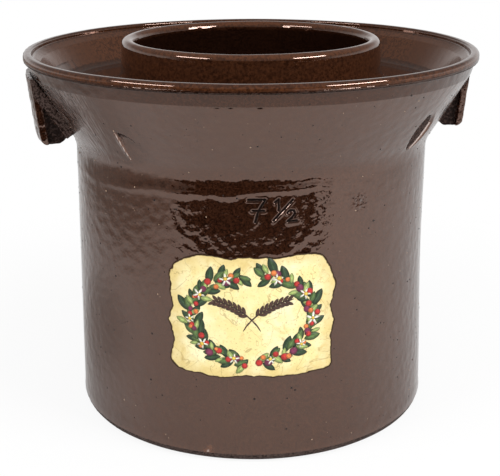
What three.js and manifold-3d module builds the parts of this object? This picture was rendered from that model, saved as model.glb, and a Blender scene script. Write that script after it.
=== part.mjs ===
// Fermentation crock: an open stoneware pot with a water gutter round its neck,
// two lug handles under the rim, a paper label and two weighting stones inside.
// Millimetres, +Z up, origin at the centre of the foot, front face towards -Y.

import * as THREE from 'three';
import { mergeVertices } from 'three/addons/utils/BufferGeometryUtils.js';
import Module from 'manifold-3d';

// Pot wall and floor
const RIM_RADIUS = 147;
const RIM_HEIGHT = 241;
const WALL_BASE_RADIUS = 118.8;
const WALL_TOP_RADIUS = 116.1;
const WALL_THICKNESS = 9.5;
const FLOOR_THICKNESS = 11;
const FLOOR_FILLET = 15;
const HEEL_ROUND = 5;
const FOOT_RING_WIDTH = 14;
const FOOT_RECESS = 2.5;

// Flared gutter wall, band and rolled rim
const FLARE_RISE = 44.6;
const FLARE_FILLET = 20;
const FLARE_THICKNESS = 10.8;
const BAND_HEIGHT = 6;
const BAND_INSET = 2.2;
const RIM_THICKNESS = 6.6;
const RIM_BEAD_HEIGHT = 6.8;
const CREASE_DEPTH = 6.6;

// Collar, gutter floor and the ledge that carries them
const COLLAR_RADIUS = 84;
const COLLAR_RISE = 6;
const COLLAR_THICKNESS = 8;
const COLLAR_DRAFT = 1.8;
const COLLAR_FILLET = 12;
const GUTTER_DEPTH = 24;
const GUTTER_FLOOR_THICKNESS = 9;
const LEDGE_WIDTH = 5;
const SHOULDER_ROUND = 20;
const NECK_ROUND = 4;

// Lug handles, the left one turned towards the front
const HANDLE_TURN = 11.5;
const HANDLE_WIDTH = 54;
const HANDLE_DROP = 41.5;
const HANDLE_CORNER_ROUND = 9;
const HANDLE_REACH = 23.4;
const FLAP_THICKNESS = 6;
const FLAP_FOOT_ROUND = 4.5;
const FLAP_LAP = 1.25;
const POCKET_DEPTH = 18;
const CHEEK_THICKNESS = 7.5;
const CHEEK_CUT = 11;
const CHEEK_RECESS = 3.2;
const CHEEK_RIM = 4.5;
const LUTING_WIDTH = 5.5;

// Paper label on the front wall
const LABEL_WIDTH = 101.5;
const LABEL_HEIGHT = 76.5;
const LABEL_DROP = 49;
const LABEL_THICKNESS = 0.4;
const LABEL_SQUARENESS = 7;
const LABEL_WAVE = 0.016;
const LABEL_WAVES = 11;

// Two half-moon weighting stones on the inner floor
const STONE_THICKNESS = 25;
const STONE_SPLIT = 5;
const STONE_EDGE_ROUND = 4;
const STONE_HOLE_RADIUS = 9;
const STONE_HOLE_OFFSET = 46;

// Fit between pieces that are luted, glued or laid together
const JOINT_GAP = 0.35;

// Share of a lip's thickness that each of its two roundings takes, and of an edge at most
const LIP_SHARE = 0.48;
const EDGE_SHARE = 0.49;

// Fineness of round shapes
const FACETS = 60;
const ARC_STEP = THREE.MathUtils.degToRad(20);
const LABEL_STEPS = 66;
const STONE_STEPS = 20;
const STONE_EDGE_STEPS = 2;
const WELD = 1e-5;

// Finishes
const GLAZE = { color: 0x4a3226, roughness: 0.18, metalness: 0 };
const PAPER = { color: 0xe6d9ad, roughness: 0.7, metalness: 0 };
const BARE_CLAY = { color: 0xb9a892, roughness: 0.85, metalness: 0 };

// Heights and radii that follow from the driving sizes
const beadBottom = RIM_HEIGHT - RIM_BEAD_HEIGHT;
const bandBottom = beadBottom - BAND_HEIGHT;
const bandRadius = RIM_RADIUS - BAND_INSET;
const flareFoot = bandBottom - FLARE_RISE;
const flareSlope = (bandRadius - WALL_TOP_RADIUS) / FLARE_RISE;
const flareReach = FLARE_THICKNESS * Math.hypot(1, flareSlope);
const gutterFloor = RIM_HEIGHT - GUTTER_DEPTH;
const ledgeHeight = gutterFloor - GUTTER_FLOOR_THICKNESS;
const collarTop = RIM_HEIGHT + COLLAR_RISE;
const collarBore = COLLAR_RADIUS - COLLAR_THICKNESS;
const innerTopRadius = WALL_TOP_RADIUS - WALL_THICKNESS;
const innerBaseRadius = WALL_BASE_RADIUS - WALL_THICKNESS;

const wasm = await Module();
wasm.setup();

// Outer and inner faces of the straight part of the flare
function flareOuter(height) {
  return WALL_TOP_RADIUS + flareSlope * (height - flareFoot);
}

function flareInner(height) {
  return flareOuter(height) - flareReach;
}

// Outer face of the wall at a height below the flare
function wallRadius(height) {
  const share = (height - HEEL_ROUND) / (flareFoot - HEEL_ROUND);
  return THREE.MathUtils.lerp(WALL_BASE_RADIUS, WALL_TOP_RADIUS, share);
}

// Outer face of a handle's flap: it starts from the band and stands off the flare by the reach at its foot
function flapRadius(height) {
  const share = (bandBottom - height) / HANDLE_DROP;
  return flareOuter(height) + THREE.MathUtils.lerp(FLAP_LAP, HANDLE_REACH, share);
}

// Points of a section given as corners [x, y, rounding]; each rounding becomes an arc
function section(corners, closed = false) {
  const count = corners.length;
  const points = [];
  corners.forEach(([x, y, rounding = 0], index) => {
    const corner = new THREE.Vector2(x, y);
    const isEnd = !closed && (index === 0 || index === count - 1);
    if (isEnd || rounding === 0) {
      points.push(corner);
      return;
    }
    const before = new THREE.Vector2(...corners[(index + count - 1) % count].slice(0, 2)).sub(corner);
    const after = new THREE.Vector2(...corners[(index + 1) % count].slice(0, 2)).sub(corner);
    const turn = before.cross(after);
    const halfAngle = Math.abs(Math.atan2(turn, before.dot(after))) / 2;
    const room = EDGE_SHARE * Math.min(before.length(), after.length());
    const reach = Math.min(rounding / Math.tan(halfAngle), room);
    const radius = reach * Math.tan(halfAngle);
    const start = corner.clone().addScaledVector(before.normalize(), reach);
    const end = corner.clone().addScaledVector(after.normalize(), reach);
    const toCentre = before.clone().add(after).normalize();
    const centre = corner.clone().addScaledVector(toCentre, radius / Math.sin(halfAngle));
    const from = start.sub(centre).angle();
    const to = end.sub(centre).angle();
    const sweep = Math.PI - 2 * halfAngle;
    const steps = Math.max(2, Math.ceil(sweep / ARC_STEP));
    const arc = new THREE.EllipseCurve(centre.x, centre.y, radius, radius, from, to, turn > 0);
    points.push(...arc.getPoints(steps));
  });
  if (closed) {
    points.push(points[0].clone());
  }
  return points;
}

// Solid of revolution about Z from [radius, height] points
function revolve(points) {
  return new THREE.LatheGeometry(points, FACETS).rotateX(Math.PI / 2);
}

function revolveRing(corners) {
  return revolve(section(corners, true));
}

function solidOf(geometry) {
  const bare = geometry.clone();
  bare.deleteAttribute('normal');
  bare.deleteAttribute('uv');
  const welded = mergeVertices(bare, WELD);
  const index = welded.index.array;
  const triangles = [];
  for (let i = 0; i < index.length; i += 3) {
    const [a, b, c] = index.slice(i, i + 3);
    if (a !== b && b !== c && c !== a) {
      triangles.push(a, b, c);
    }
  }
  const vertProperties = Float32Array.from(welded.attributes.position.array);
  const triVerts = Uint32Array.from(triangles);
  return new wasm.Manifold(new wasm.Mesh({ numProp: 3, vertProperties, triVerts }));
}

function geometryOf(solid) {
  const { vertProperties, triVerts } = solid.getMesh();
  const geometry = new THREE.BufferGeometry();
  geometry.setAttribute('position', new THREE.BufferAttribute(vertProperties, 3));
  geometry.setIndex(new THREE.BufferAttribute(triVerts, 1));
  geometry.computeVertexNormals();
  return geometry;
}

function piece(name, geometry, finish) {
  const mesh = new THREE.Mesh(geometry, new THREE.MeshStandardMaterial(finish));
  mesh.name = name;
  return mesh;
}

// Outside of the pot from the foot to the underside of the rolled rim
function outsideCorners(gap) {
  return [
    [WALL_BASE_RADIUS + gap, 0, HEEL_ROUND],
    [WALL_TOP_RADIUS + gap, flareFoot, FLARE_FILLET],
    [bandRadius + gap, bandBottom, BAND_HEIGHT / 2],
    [bandRadius + gap, beadBottom],
  ];
}

// Floor, wall, flare and rolled rim in one revolve, with a ledge for the collar ring
function potBody() {
  const beadRound = LIP_SHARE * RIM_THICKNESS;
  const lipInside = RIM_RADIUS - RIM_THICKNESS;
  const crease = RIM_HEIGHT - CREASE_DEPTH;
  const footInside = WALL_BASE_RADIUS - HEEL_ROUND - FOOT_RING_WIDTH;
  const ledgeOuter = flareInner(ledgeHeight);
  const ledgeInner = ledgeOuter - LEDGE_WIDTH;
  const shoulder = ledgeHeight - (ledgeInner - innerTopRadius) / flareSlope;
  return revolve(section([
    [0, FOOT_RECESS],
    [footInside - FOOT_RECESS, FOOT_RECESS],
    [footInside, 0],
    ...outsideCorners(0),
    [RIM_RADIUS, beadBottom, BAND_INSET / 2],
    [RIM_RADIUS, RIM_HEIGHT, beadRound],
    [lipInside, RIM_HEIGHT, beadRound],
    [lipInside, (RIM_HEIGHT + crease) / 2],
    [flareInner(crease), crease],
    [ledgeOuter, ledgeHeight],
    [ledgeInner, ledgeHeight],
    [innerTopRadius, shoulder, SHOULDER_ROUND],
    [innerBaseRadius, FLOOR_THICKNESS, FLOOR_FILLET],
    [0, FLOOR_THICKNESS],
  ]));
}

// Gutter floor with the collar standing on it; it drops into the flare and sits on the ledge
function collarRing() {
  const lipRound = LIP_SHARE * COLLAR_THICKNESS;
  return revolveRing([
    [collarBore, ledgeHeight, NECK_ROUND],
    [flareInner(ledgeHeight) - JOINT_GAP, ledgeHeight],
    [flareInner(gutterFloor) - JOINT_GAP, gutterFloor],
    [COLLAR_RADIUS + COLLAR_DRAFT, gutterFloor, COLLAR_FILLET],
    [COLLAR_RADIUS, collarTop, lipRound],
    [collarBore, collarTop, lipRound],
  ]);
}

// Slab of an outline [across, height] that runs outwards from the axis at an angle
function radialSlab(corners, angle) {
  const outline = new THREE.Shape(section(corners, true));
  const slab = new THREE.ExtrudeGeometry(outline, { depth: RIM_RADIUS * 2, bevelEnabled: false });
  return slab.rotateX(Math.PI / 2).rotateZ(Math.PI).rotateZ(angle - Math.PI / 2);
}

// Lug handle: a flap hung from the foot of the band, closed at both ends and hollow from below
function lugHandle(angle) {
  const top = bandBottom;
  const bottom = top - HANDLE_DROP;
  const pocketTop = bottom + POCKET_DEPTH;
  const flapFoot = flapRadius(bottom);
  const flareAtFoot = flareOuter(bottom);
  const innerBound = innerTopRadius;
  const halfWidth = HANDLE_WIDTH / 2;

  const blank = solidOf(revolveRing([
    [innerBound, bottom + CHEEK_CUT],
    [flareAtFoot, bottom + CHEEK_CUT],
    [flareAtFoot + CHEEK_CUT, bottom, FLAP_FOOT_ROUND],
    [flapFoot, bottom, FLAP_FOOT_ROUND],
    [flapRadius(top), top],
    [innerBound, top],
  ]));
  const outline = solidOf(radialSlab([
    [-halfWidth, bottom - FLAP_THICKNESS, HANDLE_CORNER_ROUND],
    [halfWidth, bottom - FLAP_THICKNESS, HANDLE_CORNER_ROUND],
    [halfWidth, RIM_HEIGHT],
    [-halfWidth, RIM_HEIGHT],
  ], angle));
  const seat = solidOf(revolve(section([
    [0, 0],
    ...outsideCorners(JOINT_GAP),
    [bandRadius + JOINT_GAP, RIM_HEIGHT],
    [0, RIM_HEIGHT],
  ])));

  const pocketRing = solidOf(revolveRing([
    [innerBound, bottom - FLAP_THICKNESS],
    [flapFoot - FLAP_THICKNESS, bottom - FLAP_THICKNESS],
    [flapFoot - FLAP_THICKNESS, bottom],
    [flapRadius(pocketTop) - FLAP_THICKNESS, pocketTop],
    [innerBound, pocketTop],
  ]));
  const pocketHalf = halfWidth - CHEEK_THICKNESS;
  const pocketSlab = solidOf(radialSlab([
    [-pocketHalf, bottom - FLAP_THICKNESS],
    [pocketHalf, bottom - FLAP_THICKNESS],
    [pocketHalf, RIM_HEIGHT, HANDLE_CORNER_ROUND],
    [-pocketHalf, RIM_HEIGHT, HANDLE_CORNER_ROUND],
  ], angle));
  const pocket = pocketRing.intersect(pocketSlab);

  const recessShare = (CHEEK_RIM + LUTING_WIDTH - FLAP_LAP) / (HANDLE_REACH - FLAP_LAP);
  const recessTop = top - HANDLE_DROP * recessShare;
  const recessRing = solidOf(revolveRing([
    [flareAtFoot + LUTING_WIDTH, bottom - FLAP_THICKNESS],
    [flapFoot - CHEEK_RIM, bottom - FLAP_THICKNESS],
    [flapFoot - CHEEK_RIM, bottom],
    [flapRadius(recessTop) - CHEEK_RIM, recessTop],
    [flareAtFoot + LUTING_WIDTH, bottom],
  ]));
  const recesses = [-1, 1].map((side) => recessRing.intersect(solidOf(radialSlab([
    [side * (halfWidth - CHEEK_RECESS), bottom - FLAP_THICKNESS],
    [side * HANDLE_WIDTH, bottom - FLAP_THICKNESS],
    [side * HANDLE_WIDTH, RIM_HEIGHT],
    [side * (halfWidth - CHEEK_RECESS), RIM_HEIGHT],
  ], angle))));

  const lug = blank.intersect(outline).subtract(seat).subtract(pocket);
  return geometryOf(recesses.reduce((solid, recess) => solid.subtract(recess), lug));
}

// Paper label: a thin skin of the wall, cut to a rounded sheet with a softly waved edge
function labelSheet() {
  const top = flareFoot - LABEL_DROP;
  const middle = top - LABEL_HEIGHT / 2;
  const low = middle - LABEL_HEIGHT;
  const high = top + LABEL_DROP / 2;
  const inside = JOINT_GAP;
  const outside = JOINT_GAP + LABEL_THICKNESS;
  const skin = solidOf(revolveRing([
    [wallRadius(low) + inside, low],
    [wallRadius(low) + outside, low],
    [wallRadius(high) + outside, high],
    [wallRadius(high) + inside, high],
  ]));
  const halfChord = wallRadius(middle) * Math.sin(LABEL_WIDTH / 2 / wallRadius(middle));
  const edge = [];
  for (let step = 0; step < LABEL_STEPS; step += 1) {
    const angle = (step / LABEL_STEPS) * Math.PI * 2;
    const across = Math.cos(angle);
    const up = Math.sin(angle);
    const bulk = Math.abs(across) ** LABEL_SQUARENESS + Math.abs(up) ** LABEL_SQUARENESS;
    const wave = LABEL_WAVE * (1 + Math.sin(LABEL_WAVES * angle));
    const spread = bulk ** (-1 / LABEL_SQUARENESS) * (1 - wave);
    edge.push([halfChord * across * spread, middle + (LABEL_HEIGHT / 2) * up * spread]);
  }
  return geometryOf(skin.intersect(solidOf(radialSlab(edge, -Math.PI / 2))));
}

// Half-moon stone with rounded edges and a lifting hole
function halfStone(side) {
  const radius = Math.min(innerTopRadius, innerBaseRadius) - FLOOR_FILLET + STONE_EDGE_ROUND - JOINT_GAP;
  const cut = STONE_SPLIT / 2;
  const turn = Math.asin(cut / radius);
  const outline = new THREE.Shape();
  outline.absarc(0, 0, radius, turn, Math.PI - turn, false);
  outline.closePath();
  const hole = new THREE.Path();
  hole.absarc(0, STONE_HOLE_OFFSET, STONE_HOLE_RADIUS, 0, Math.PI * 2, true);
  outline.holes.push(hole);
  const stone = new THREE.ExtrudeGeometry(outline, {
    depth: STONE_THICKNESS - 2 * STONE_EDGE_ROUND,
    bevelThickness: STONE_EDGE_ROUND,
    bevelSize: STONE_EDGE_ROUND,
    bevelOffset: -STONE_EDGE_ROUND,
    bevelSegments: STONE_EDGE_STEPS,
    curveSegments: STONE_STEPS,
  });
  stone.translate(0, 0, FLOOR_THICKNESS + JOINT_GAP + STONE_EDGE_ROUND);
  return side > 0 ? stone : stone.rotateZ(Math.PI);
}

const handleAngle = THREE.MathUtils.degToRad(HANDLE_TURN);
const crock = new THREE.Group();
crock.name = 'fermentation_crock';
crock.add(
  piece('pot_body', potBody(), GLAZE),
  piece('collar_ring', collarRing(), GLAZE),
  piece('handle_left', lugHandle(Math.PI + handleAngle), GLAZE),
  piece('handle_right', lugHandle(handleAngle), GLAZE),
  piece('label', labelSheet(), PAPER),
  piece('weight_stone_front', halfStone(-1), BARE_CLAY),
  piece('weight_stone_back', halfStone(1), BARE_CLAY),
);

export default crock;
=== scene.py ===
# Fermentation crock: a glazed stoneware pot with a water gutter round its collar, lug handles
# under the rim, a printed paper label and two weighting stones. Metres, +Z up, front towards -Y.
# Azimuths run from the front to the right.

import math
from collections import namedtuple

import bmesh
import bpy
import numpy as np
from mathutils import Matrix, Vector, noise


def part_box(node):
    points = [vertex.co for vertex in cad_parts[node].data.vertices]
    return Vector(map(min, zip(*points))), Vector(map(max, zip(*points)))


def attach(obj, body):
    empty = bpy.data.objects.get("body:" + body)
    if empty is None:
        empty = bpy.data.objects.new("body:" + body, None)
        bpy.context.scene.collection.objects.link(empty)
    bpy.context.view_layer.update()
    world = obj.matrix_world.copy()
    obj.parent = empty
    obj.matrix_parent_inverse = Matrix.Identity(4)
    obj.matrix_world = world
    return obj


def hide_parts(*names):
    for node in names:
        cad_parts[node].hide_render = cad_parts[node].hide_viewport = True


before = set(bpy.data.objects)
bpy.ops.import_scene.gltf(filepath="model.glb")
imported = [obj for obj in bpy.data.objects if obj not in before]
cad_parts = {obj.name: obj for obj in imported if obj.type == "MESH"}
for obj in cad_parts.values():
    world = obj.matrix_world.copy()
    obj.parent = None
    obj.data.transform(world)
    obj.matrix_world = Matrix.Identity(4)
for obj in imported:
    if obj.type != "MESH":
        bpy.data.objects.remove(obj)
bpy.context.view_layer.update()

MM = 0.001

# Pot wall, floor and foot
RIM_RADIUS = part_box("pot_body")[1].x
RIM_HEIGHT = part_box("pot_body")[1].z
WALL_BASE_RADIUS = 118.8 * MM
WALL_TOP_RADIUS = 116.1 * MM
WALL_THICKNESS = 9.5 * MM
FLOOR_THICKNESS = 11 * MM
FLOOR_FILLET = 15 * MM
HEEL_ROUND = 6.5 * MM
FOOT_RING_WIDTH = 14 * MM
FOOT_RECESS = 2.5 * MM
UNDERSIDE = 1 * MM

# Flared gutter wall, band and rolled rim
FLARE_RISE = 44.6 * MM
FLARE_FILLET = 20 * MM
FLARE_THICKNESS = 10.8 * MM
BAND_HEIGHT = 7.4 * MM
BAND_INSET = 2.2 * MM
BAND_LEAN = 2.2 * MM
BAND_UPPER_LEAN = 1.12 * MM
RIM_THICKNESS = 5.6 * MM
RIM_BEAD_HEIGHT = 5.4 * MM
CREASE_DEPTH = 6.6 * MM
LEDGE_WIDTH = 5 * MM
SHOULDER_ROUND = 20 * MM

# Collar and gutter floor
LEDGE_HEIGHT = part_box("collar_ring")[0].z
COLLAR_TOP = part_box("collar_ring")[1].z
COLLAR_RADIUS = 84 * MM
COLLAR_THICKNESS = 8 * MM
COLLAR_DRAFT = 1.8 * MM
COLLAR_FILLET = 12 * MM
GUTTER_DEPTH = 24 * MM
GUTTER_CORNER = 9 * MM
NECK_ROUND = 4 * MM
SINK = 1.2 * MM

# Softness of glazed edges
SOFT_EDGE = 0.9 * MM
LIP_SHARE = 0.48
EDGE_SHARE = 0.49

# Where the glaze ends at the foot, and how it rolls up and breaks there
FOOT_LINE = 5.6 * MM
GLAZE_ROLL = 0.35 * MM
GLAZE_ROLL_RISE = 0.8 * MM
GLAZE_ROLL_WIDTH = 0.7 * MM
FOOT_EDGE_RISE = 0.9 * MM
FOOT_EDGE_WIDTH = 0.8 * MM

# Where the glaze thins on the rolled rim, and the painted shade line under it
BEAD_FADE = 2 * MM
BEAD_FACE_DEPTH = 2 * MM
BEAD_FACE_FADE = 0.5 * MM
BEAD_TOP = 1.0 * MM
BEAD_SHADOW = 0.9 * MM
BAND_CLEARANCE = 0.3 * MM
COLLAR_LIP_FADE = 2.5 * MM

# Thinness of the glaze, which also carries painted light and shade: over 0 it shows red-brown, well over 1
# pale, under 0 it darkens, for pooling glaze and for painted shade
BEAD_TOP_THIN = 0.45
# painted light: the gutter's left and right sides are coloured lighter
GUTTER_SIDE_LIGHT = 1.4
COLLAR_THIN = 0.4
FOOT_EDGE_THIN = 0.35
# painted highlight: pale lines along the ridges of both dents
CREST_HIGHLIGHT = 3
NICK_THIN = 2.1
STAMP_POOL = 2
# painted shade at the top of the fingertip's dent
PINCH_SHADE = 0.35
# painted shade inside the lens-shaped dent
SCOOP_SHADE = 0.8
# painted shade: darkness of the line under the rolled bead
BEAD_SHADE = 1.5
# painted shade: darkens the glaze inside the pot and in the collar's bore
INSIDE_SHADE = 0.6
# painted shade in the handles' cheeks
CHEEK_SHADE = 1.5

# Number pressed into the wall; its strokes are points in millimetres, right and up
STAMP_AZIMUTH = math.radians(-1.2)
STAMP_HEIGHT = 155.5 * MM
STAMP_MIDDLE = 6.8 * MM
STAMP_REACH = 8.5 * MM
STAMP_DEPTH = 0.8 * MM
STAMP_LIP = 0.12 * MM
STROKE = 0.6 * MM
STROKE_SOFTNESS = 0.18 * STROKE
STAMP_LIP_AWAY = 2.4 * STROKE
STAMP_LIP_WIDTH = 0.8 * STROKE
STAMP_STROKES = (
    ((0.4, 13.6), (10.4, 13.6), (6.4, 6.8), (4.4, 0)),
    ((3.0, 7.0), (9.8, 7.0)),
    ((16.0, 11.8), (18.2, 13.6), (18.2, 7.0)),
    ((15.2, 1.0), (26.6, 13.0)),
    ((23.4, 5.2), (24.8, 6.6), (27.2, 6.4), (28.0, 4.8), (26.4, 2.6), (23.4, 0.2), (29.0, 0.2)),
)

# Fingertip's dent on the left of the flare
PINCH_AZIMUTH = math.radians(-36.9)
PINCH_HEIGHT = 196.5 * MM
PINCH_DEPTH = 1.2 * MM
PINCH_TOP = 9 * MM
PINCH_DROP = 5 * MM
PINCH_WIDTH = 12 * MM
PINCH_SLANT = 0.15
PINCH_START = 0.3 * MM
PINCH_FADE = 0.6 * MM
PINCH_TOP_FADE = 0.4 * MM
PINCH_SHADOW = 2.4 * MM
PINCH_RIDGE = 0.8 * MM
PINCH_RIDGE_LEFT = 2.4 * MM
PINCH_RIDGE_RIGHT = 0.5 * MM
PINCH_RIDGE_DROP = 1 * MM
# width and place of the painted highlight line along the dent's ridge
PINCH_GLINT_WIDTH = 0.42 * MM
PINCH_GLINT_RISE = 0.5 * MM

# Lens-shaped dent on the right of the flare
SCOOP_AZIMUTH = math.radians(54.5)
SCOOP_HEIGHT = 199 * MM
SCOOP_DEPTH = 4.5 * MM
SCOOP_LENGTH = 12 * MM
SCOOP_WIDTH = 7.2 * MM
SCOOP_TIP = 0.01 * MM
SCOOP_SLANT = 0.15
SCOOP_STEEP = 0.5 * MM
SCOOP_LIP = 1.3 * MM
SCOOP_LIP_WIDTH = 1 * MM
# painted highlight line just inside the dent's right edge
SCOOP_GLINT = 0.8 * MM
SCOOP_GLINT_DROP = 3 * MM
# where the dent's inside gets painted shade and a matt finish
SCOOP_SHADE_FROM = 0.12
SCOOP_MATT_FROM = 0.1

# Chips under the band and a nick at the foot
CHIP_AZIMUTHS = np.radians((-7.5, -4.4, 1.9))
CHIP_DEPTH = 0.7 * MM
CHIP_LENGTH = 2.2 * MM
CHIP_WIDTH = 0.7 * MM
CHIP_DROP = 0.4 * MM
NICK_AZIMUTH = math.radians(-13.3)
NICK_HEIGHT = 6.8 * MM
NICK_LENGTH = 1.8 * MM
NICK_WIDTH = 1.1 * MM

# Turning ridge on the front and left of the wall
RIDGE_HEIGHT = 173.3 * MM
RIDGE_RISE = 5.5 * MM
RIDGE_SWELL = 0.5 * MM
RIDGE_SPREAD = 2.6 * MM
RIDGE_UPPER_SPREAD = 4.6 * MM
RIDGE_WAVE = 0.6 * MM
RIDGE_RIPPLE = 0.4 * MM
RIDGE_MIDDLE = math.radians(-60)
RIDGE_SPAN = math.radians(82)
RIDGE_FADE = 0.05
RIDGE_CREST = math.radians(-10)
RIDGE_CREST_SPAN = math.radians(33)
RIDGE_CREST_FADE = 0.04

# Unevenness of the wall, its slight waist on the right and the drag marks beside the handles
WAVER_SLOW = 0.07 * MM
WAVER_QUICK = 0.035 * MM
WAIST_AZIMUTH = math.radians(80)
WAIST_SPAN = math.radians(38)
WAIST_HEIGHT = 105 * MM
WAIST_SPREAD = 60 * MM
WAIST_DEPTH = 1.5 * MM
DRAG_SPAN = 0.5
DRAG_BOTTOM = 170 * MM
DRAG_FADE = 15 * MM
SPECKS_BOTTOM = 2 * MM

# Lug handles; a cheek is a face that looks along the flare
LUG_AZIMUTHS = [math.atan2(middle.x, -middle.y) for middle in
                (sum(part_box(node), Vector()) / 2 for node in ("handle_left", "handle_right"))]
HANDLE_WIDTH = 54 * MM
SEAT_GAP = 0.8 * MM
SEAT_SINK = 1.6 * MM
LUTING_WIDTH = 5.5 * MM
LUTING_FADE = 1.5 * MM
COMB_DEPTH = 0.55 * MM
COMB_PITCH = 1.3 * MM
COMB_LENGTH = 14 * MM
CHEEK_RECESS = 3.2 * MM
# painted shade along the cheeks' recess, and the margin of their matt faces
CHEEK_SHADE_WIDTH = 1.2 * MM
CHEEK_MATT_MARGIN = 1.0 * MM
CHEEK_LEAST = 0.5
CHEEK_FULL = 0.3
CHEEK_SIDEWAYS = 0.6
LUG_UNEVEN = 0.25 * MM
LUG_UNEVEN_SIZE = 5 * MM

# Weighting stones
STONE_UNEVEN = 0.3 * MM
STONE_UNEVEN_SIZE = 9 * MM

# Paper label; the noises that tear and curl its edge are read round a circle
LABEL_LOW, LABEL_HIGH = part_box("label")
LABEL_SQUARENESS = 7
LABEL_WAVE = 0.02
LABEL_WAVES = 11
LABEL_LIFT = 0.3 * MM
LABEL_THICKNESS = 0.25 * MM
LABEL_CORNERS = 260
LABEL_RINGS = 16
LABEL_CROWDING = 1.6
TEAR_DEPTH = 0.04
TEAR_CIRCLE = (4, 0.5)
CURL_HEIGHT = 0.25 * MM
CURL_CIRCLE = (1.6, 2.0)
CURL_AT_EDGE = 24

# Fineness of the meshes; columns are zones of azimuth, first, last and step in degrees
TOUCH = 1e-6
ARC_STEP = math.radians(7)
LEAST_ARC_STEPS = 3
POT_COLUMNS = (
    (-65, -39.5, 1.6), (-39.5, -31.5, 0.27), (-31.5, -12, 1.4), (-12, -2.4, 0.7),
    (-2.4, 14.4, 0.225), (14.4, 50.5, 1.6), (50.5, 60, 0.36), (60, 295, 4.3),
)
COLLAR_COLUMNS = ((-90, 90, 1.2), (90, 270, 2.0))
HIDDEN_STEP = 7 * MM
GUTTER_STEP = 2 * MM
STAMP_STEP = 0.4 * MM
BAND_EDGE_STEP = 0.6 * MM
BAND_EDGE_REACH = 2 * MM
FOOT_STEP = 0.8 * MM
MARKS_STEP = 0.75 * MM
RIDGE_REACH = 6 * MM
PINCH_REACH = 11.5 * MM
UPPER_STEP = 1.5 * MM
UPPER_BOTTOM = 145 * MM
LOWER_STEP = 6 * MM
COLLAR_STEP = 1.5 * MM
COLLAR_INNER_STEP = 3 * MM
LUG_VOXEL = 0.5 * MM
LUG_SMOOTHING = 3
STONE_VOXEL = 1.5 * MM
STONE_SMOOTHING = 4
UNEVEN_FRACTAL = (1.0, 2.0, 3)
TEAR_FRACTAL = (0.8, 2.0, 5)

# Heights and radii that follow
bead_bottom = RIM_HEIGHT - RIM_BEAD_HEIGHT
band_bottom = bead_bottom - BAND_HEIGHT
band_radius = RIM_RADIUS - BAND_INSET
flare_foot = band_bottom - FLARE_RISE
flare_slope = (band_radius - WALL_TOP_RADIUS) / FLARE_RISE
flare_reach = FLARE_THICKNESS * math.hypot(1, flare_slope)
gutter_floor = RIM_HEIGHT - GUTTER_DEPTH
collar_bore = COLLAR_RADIUS - COLLAR_THICKNESS
inner_top_radius = WALL_TOP_RADIUS - WALL_THICKNESS
inner_base_radius = WALL_BASE_RADIUS - WALL_THICKNESS


class Wire:
    """An output socket of a node tree, with arithmetic that adds Math nodes."""

    def __init__(self, graph, socket):
        self.graph = graph
        self.socket = socket

    def output(self, name):
        return Wire(self.graph, self.socket.node.outputs[name])

    def maths(self, operation, first, second=0.0):
        return self.graph.add("ShaderNodeMath", {0: first, 1: second}, operation=operation)

    def __add__(self, other):
        return self.maths("ADD", self, other)

    def __radd__(self, other):
        return self.maths("ADD", other, self)

    def __sub__(self, other):
        return self.maths("SUBTRACT", self, other)

    def __rsub__(self, other):
        return self.maths("SUBTRACT", other, self)

    def __mul__(self, other):
        return self.maths("MULTIPLY", self, other)

    def __rmul__(self, other):
        return self.maths("MULTIPLY", other, self)

    def __truediv__(self, other):
        return self.maths("DIVIDE", self, other)

    def __rtruediv__(self, other):
        return self.maths("DIVIDE", other, self)

    def __pow__(self, other):
        return self.maths("POWER", self, other)


class Graph:
    """A node tree; add() makes a node of any type, sets it, fills its sockets and returns an output."""

    def __init__(self, tree):
        self.tree = tree
        tree.nodes.clear()

    def add(self, kind, sockets=None, out=0, **settings):
        node = self.tree.nodes.new(kind)
        for key, value in settings.items():
            setattr(node, key, value)
        for key, value in (sockets or {}).items():
            if isinstance(value, Wire):
                self.tree.links.new(value.socket, node.inputs[key])
            else:
                node.inputs[key].default_value = value
        return Wire(self, node.outputs[out]) if node.outputs else None

    def mix(self, share, first, second):
        """A colour between two others."""
        return self.add("ShaderNodeMix", {0: share, 6: first, 7: second}, out=2, data_type="RGBA")

    def smooth(self, value, low, high):
        """0 below low, 1 above high, with a soft step between them."""
        sockets = {"Value": value, "From Min": low, "From Max": high}
        return self.add("ShaderNodeMapRange", sockets, interpolation_type="SMOOTHSTEP")

    def noise(self, place, scale, detail=2.0, **sockets):
        sockets = {"Vector": place, "Scale": scale, "Detail": detail, **sockets}
        return self.add("ShaderNodeTexNoise", sockets)

    def attribute(self, name):
        """A number that the mesh carries on its points."""
        return self.add("ShaderNodeAttribute", attribute_name=name).output("Fac")

    def axes(self, vector):
        parts = self.add("ShaderNodeSeparateXYZ", {0: vector})
        return [parts.output(axis) for axis in "XYZ"]

    def vector(self, x=0.0, y=0.0, z=0.0):
        return self.add("ShaderNodeCombineXYZ", {0: x, 1: y, 2: z})

    def distance(self, place, point):
        sockets = {0: place, 1: point}
        return self.add("ShaderNodeVectorMath", sockets, out="Value", operation="DISTANCE")

    def bump(self, height, depth, strength=1.0):
        sockets = {"Height": height, "Strength": strength, "Distance": depth}
        return self.add("ShaderNodeBump", sockets)


def linear(red, green, blue):
    """A colour given as 0 to 255 display values, as the linear value that sockets take."""
    def channel(value):
        value /= 255
        return value / 12.92 if value <= 0.04045 else ((value + 0.055) / 1.055) ** 2.4
    return (channel(red), channel(green), channel(blue), 1.0)


def tinted(colour, factor):
    """A lighter or darker tone of a colour."""
    return tuple(min(1.0, factor * channel) for channel in colour[:3]) + (1.0,)


def material(name):
    """A new material with its graph and the object coordinates."""
    made = bpy.data.materials.new(name)
    made.use_nodes = True
    graph = Graph(made.node_tree)
    place = graph.add("ShaderNodeTexCoord").output("Object")
    return made, graph, place


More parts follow.
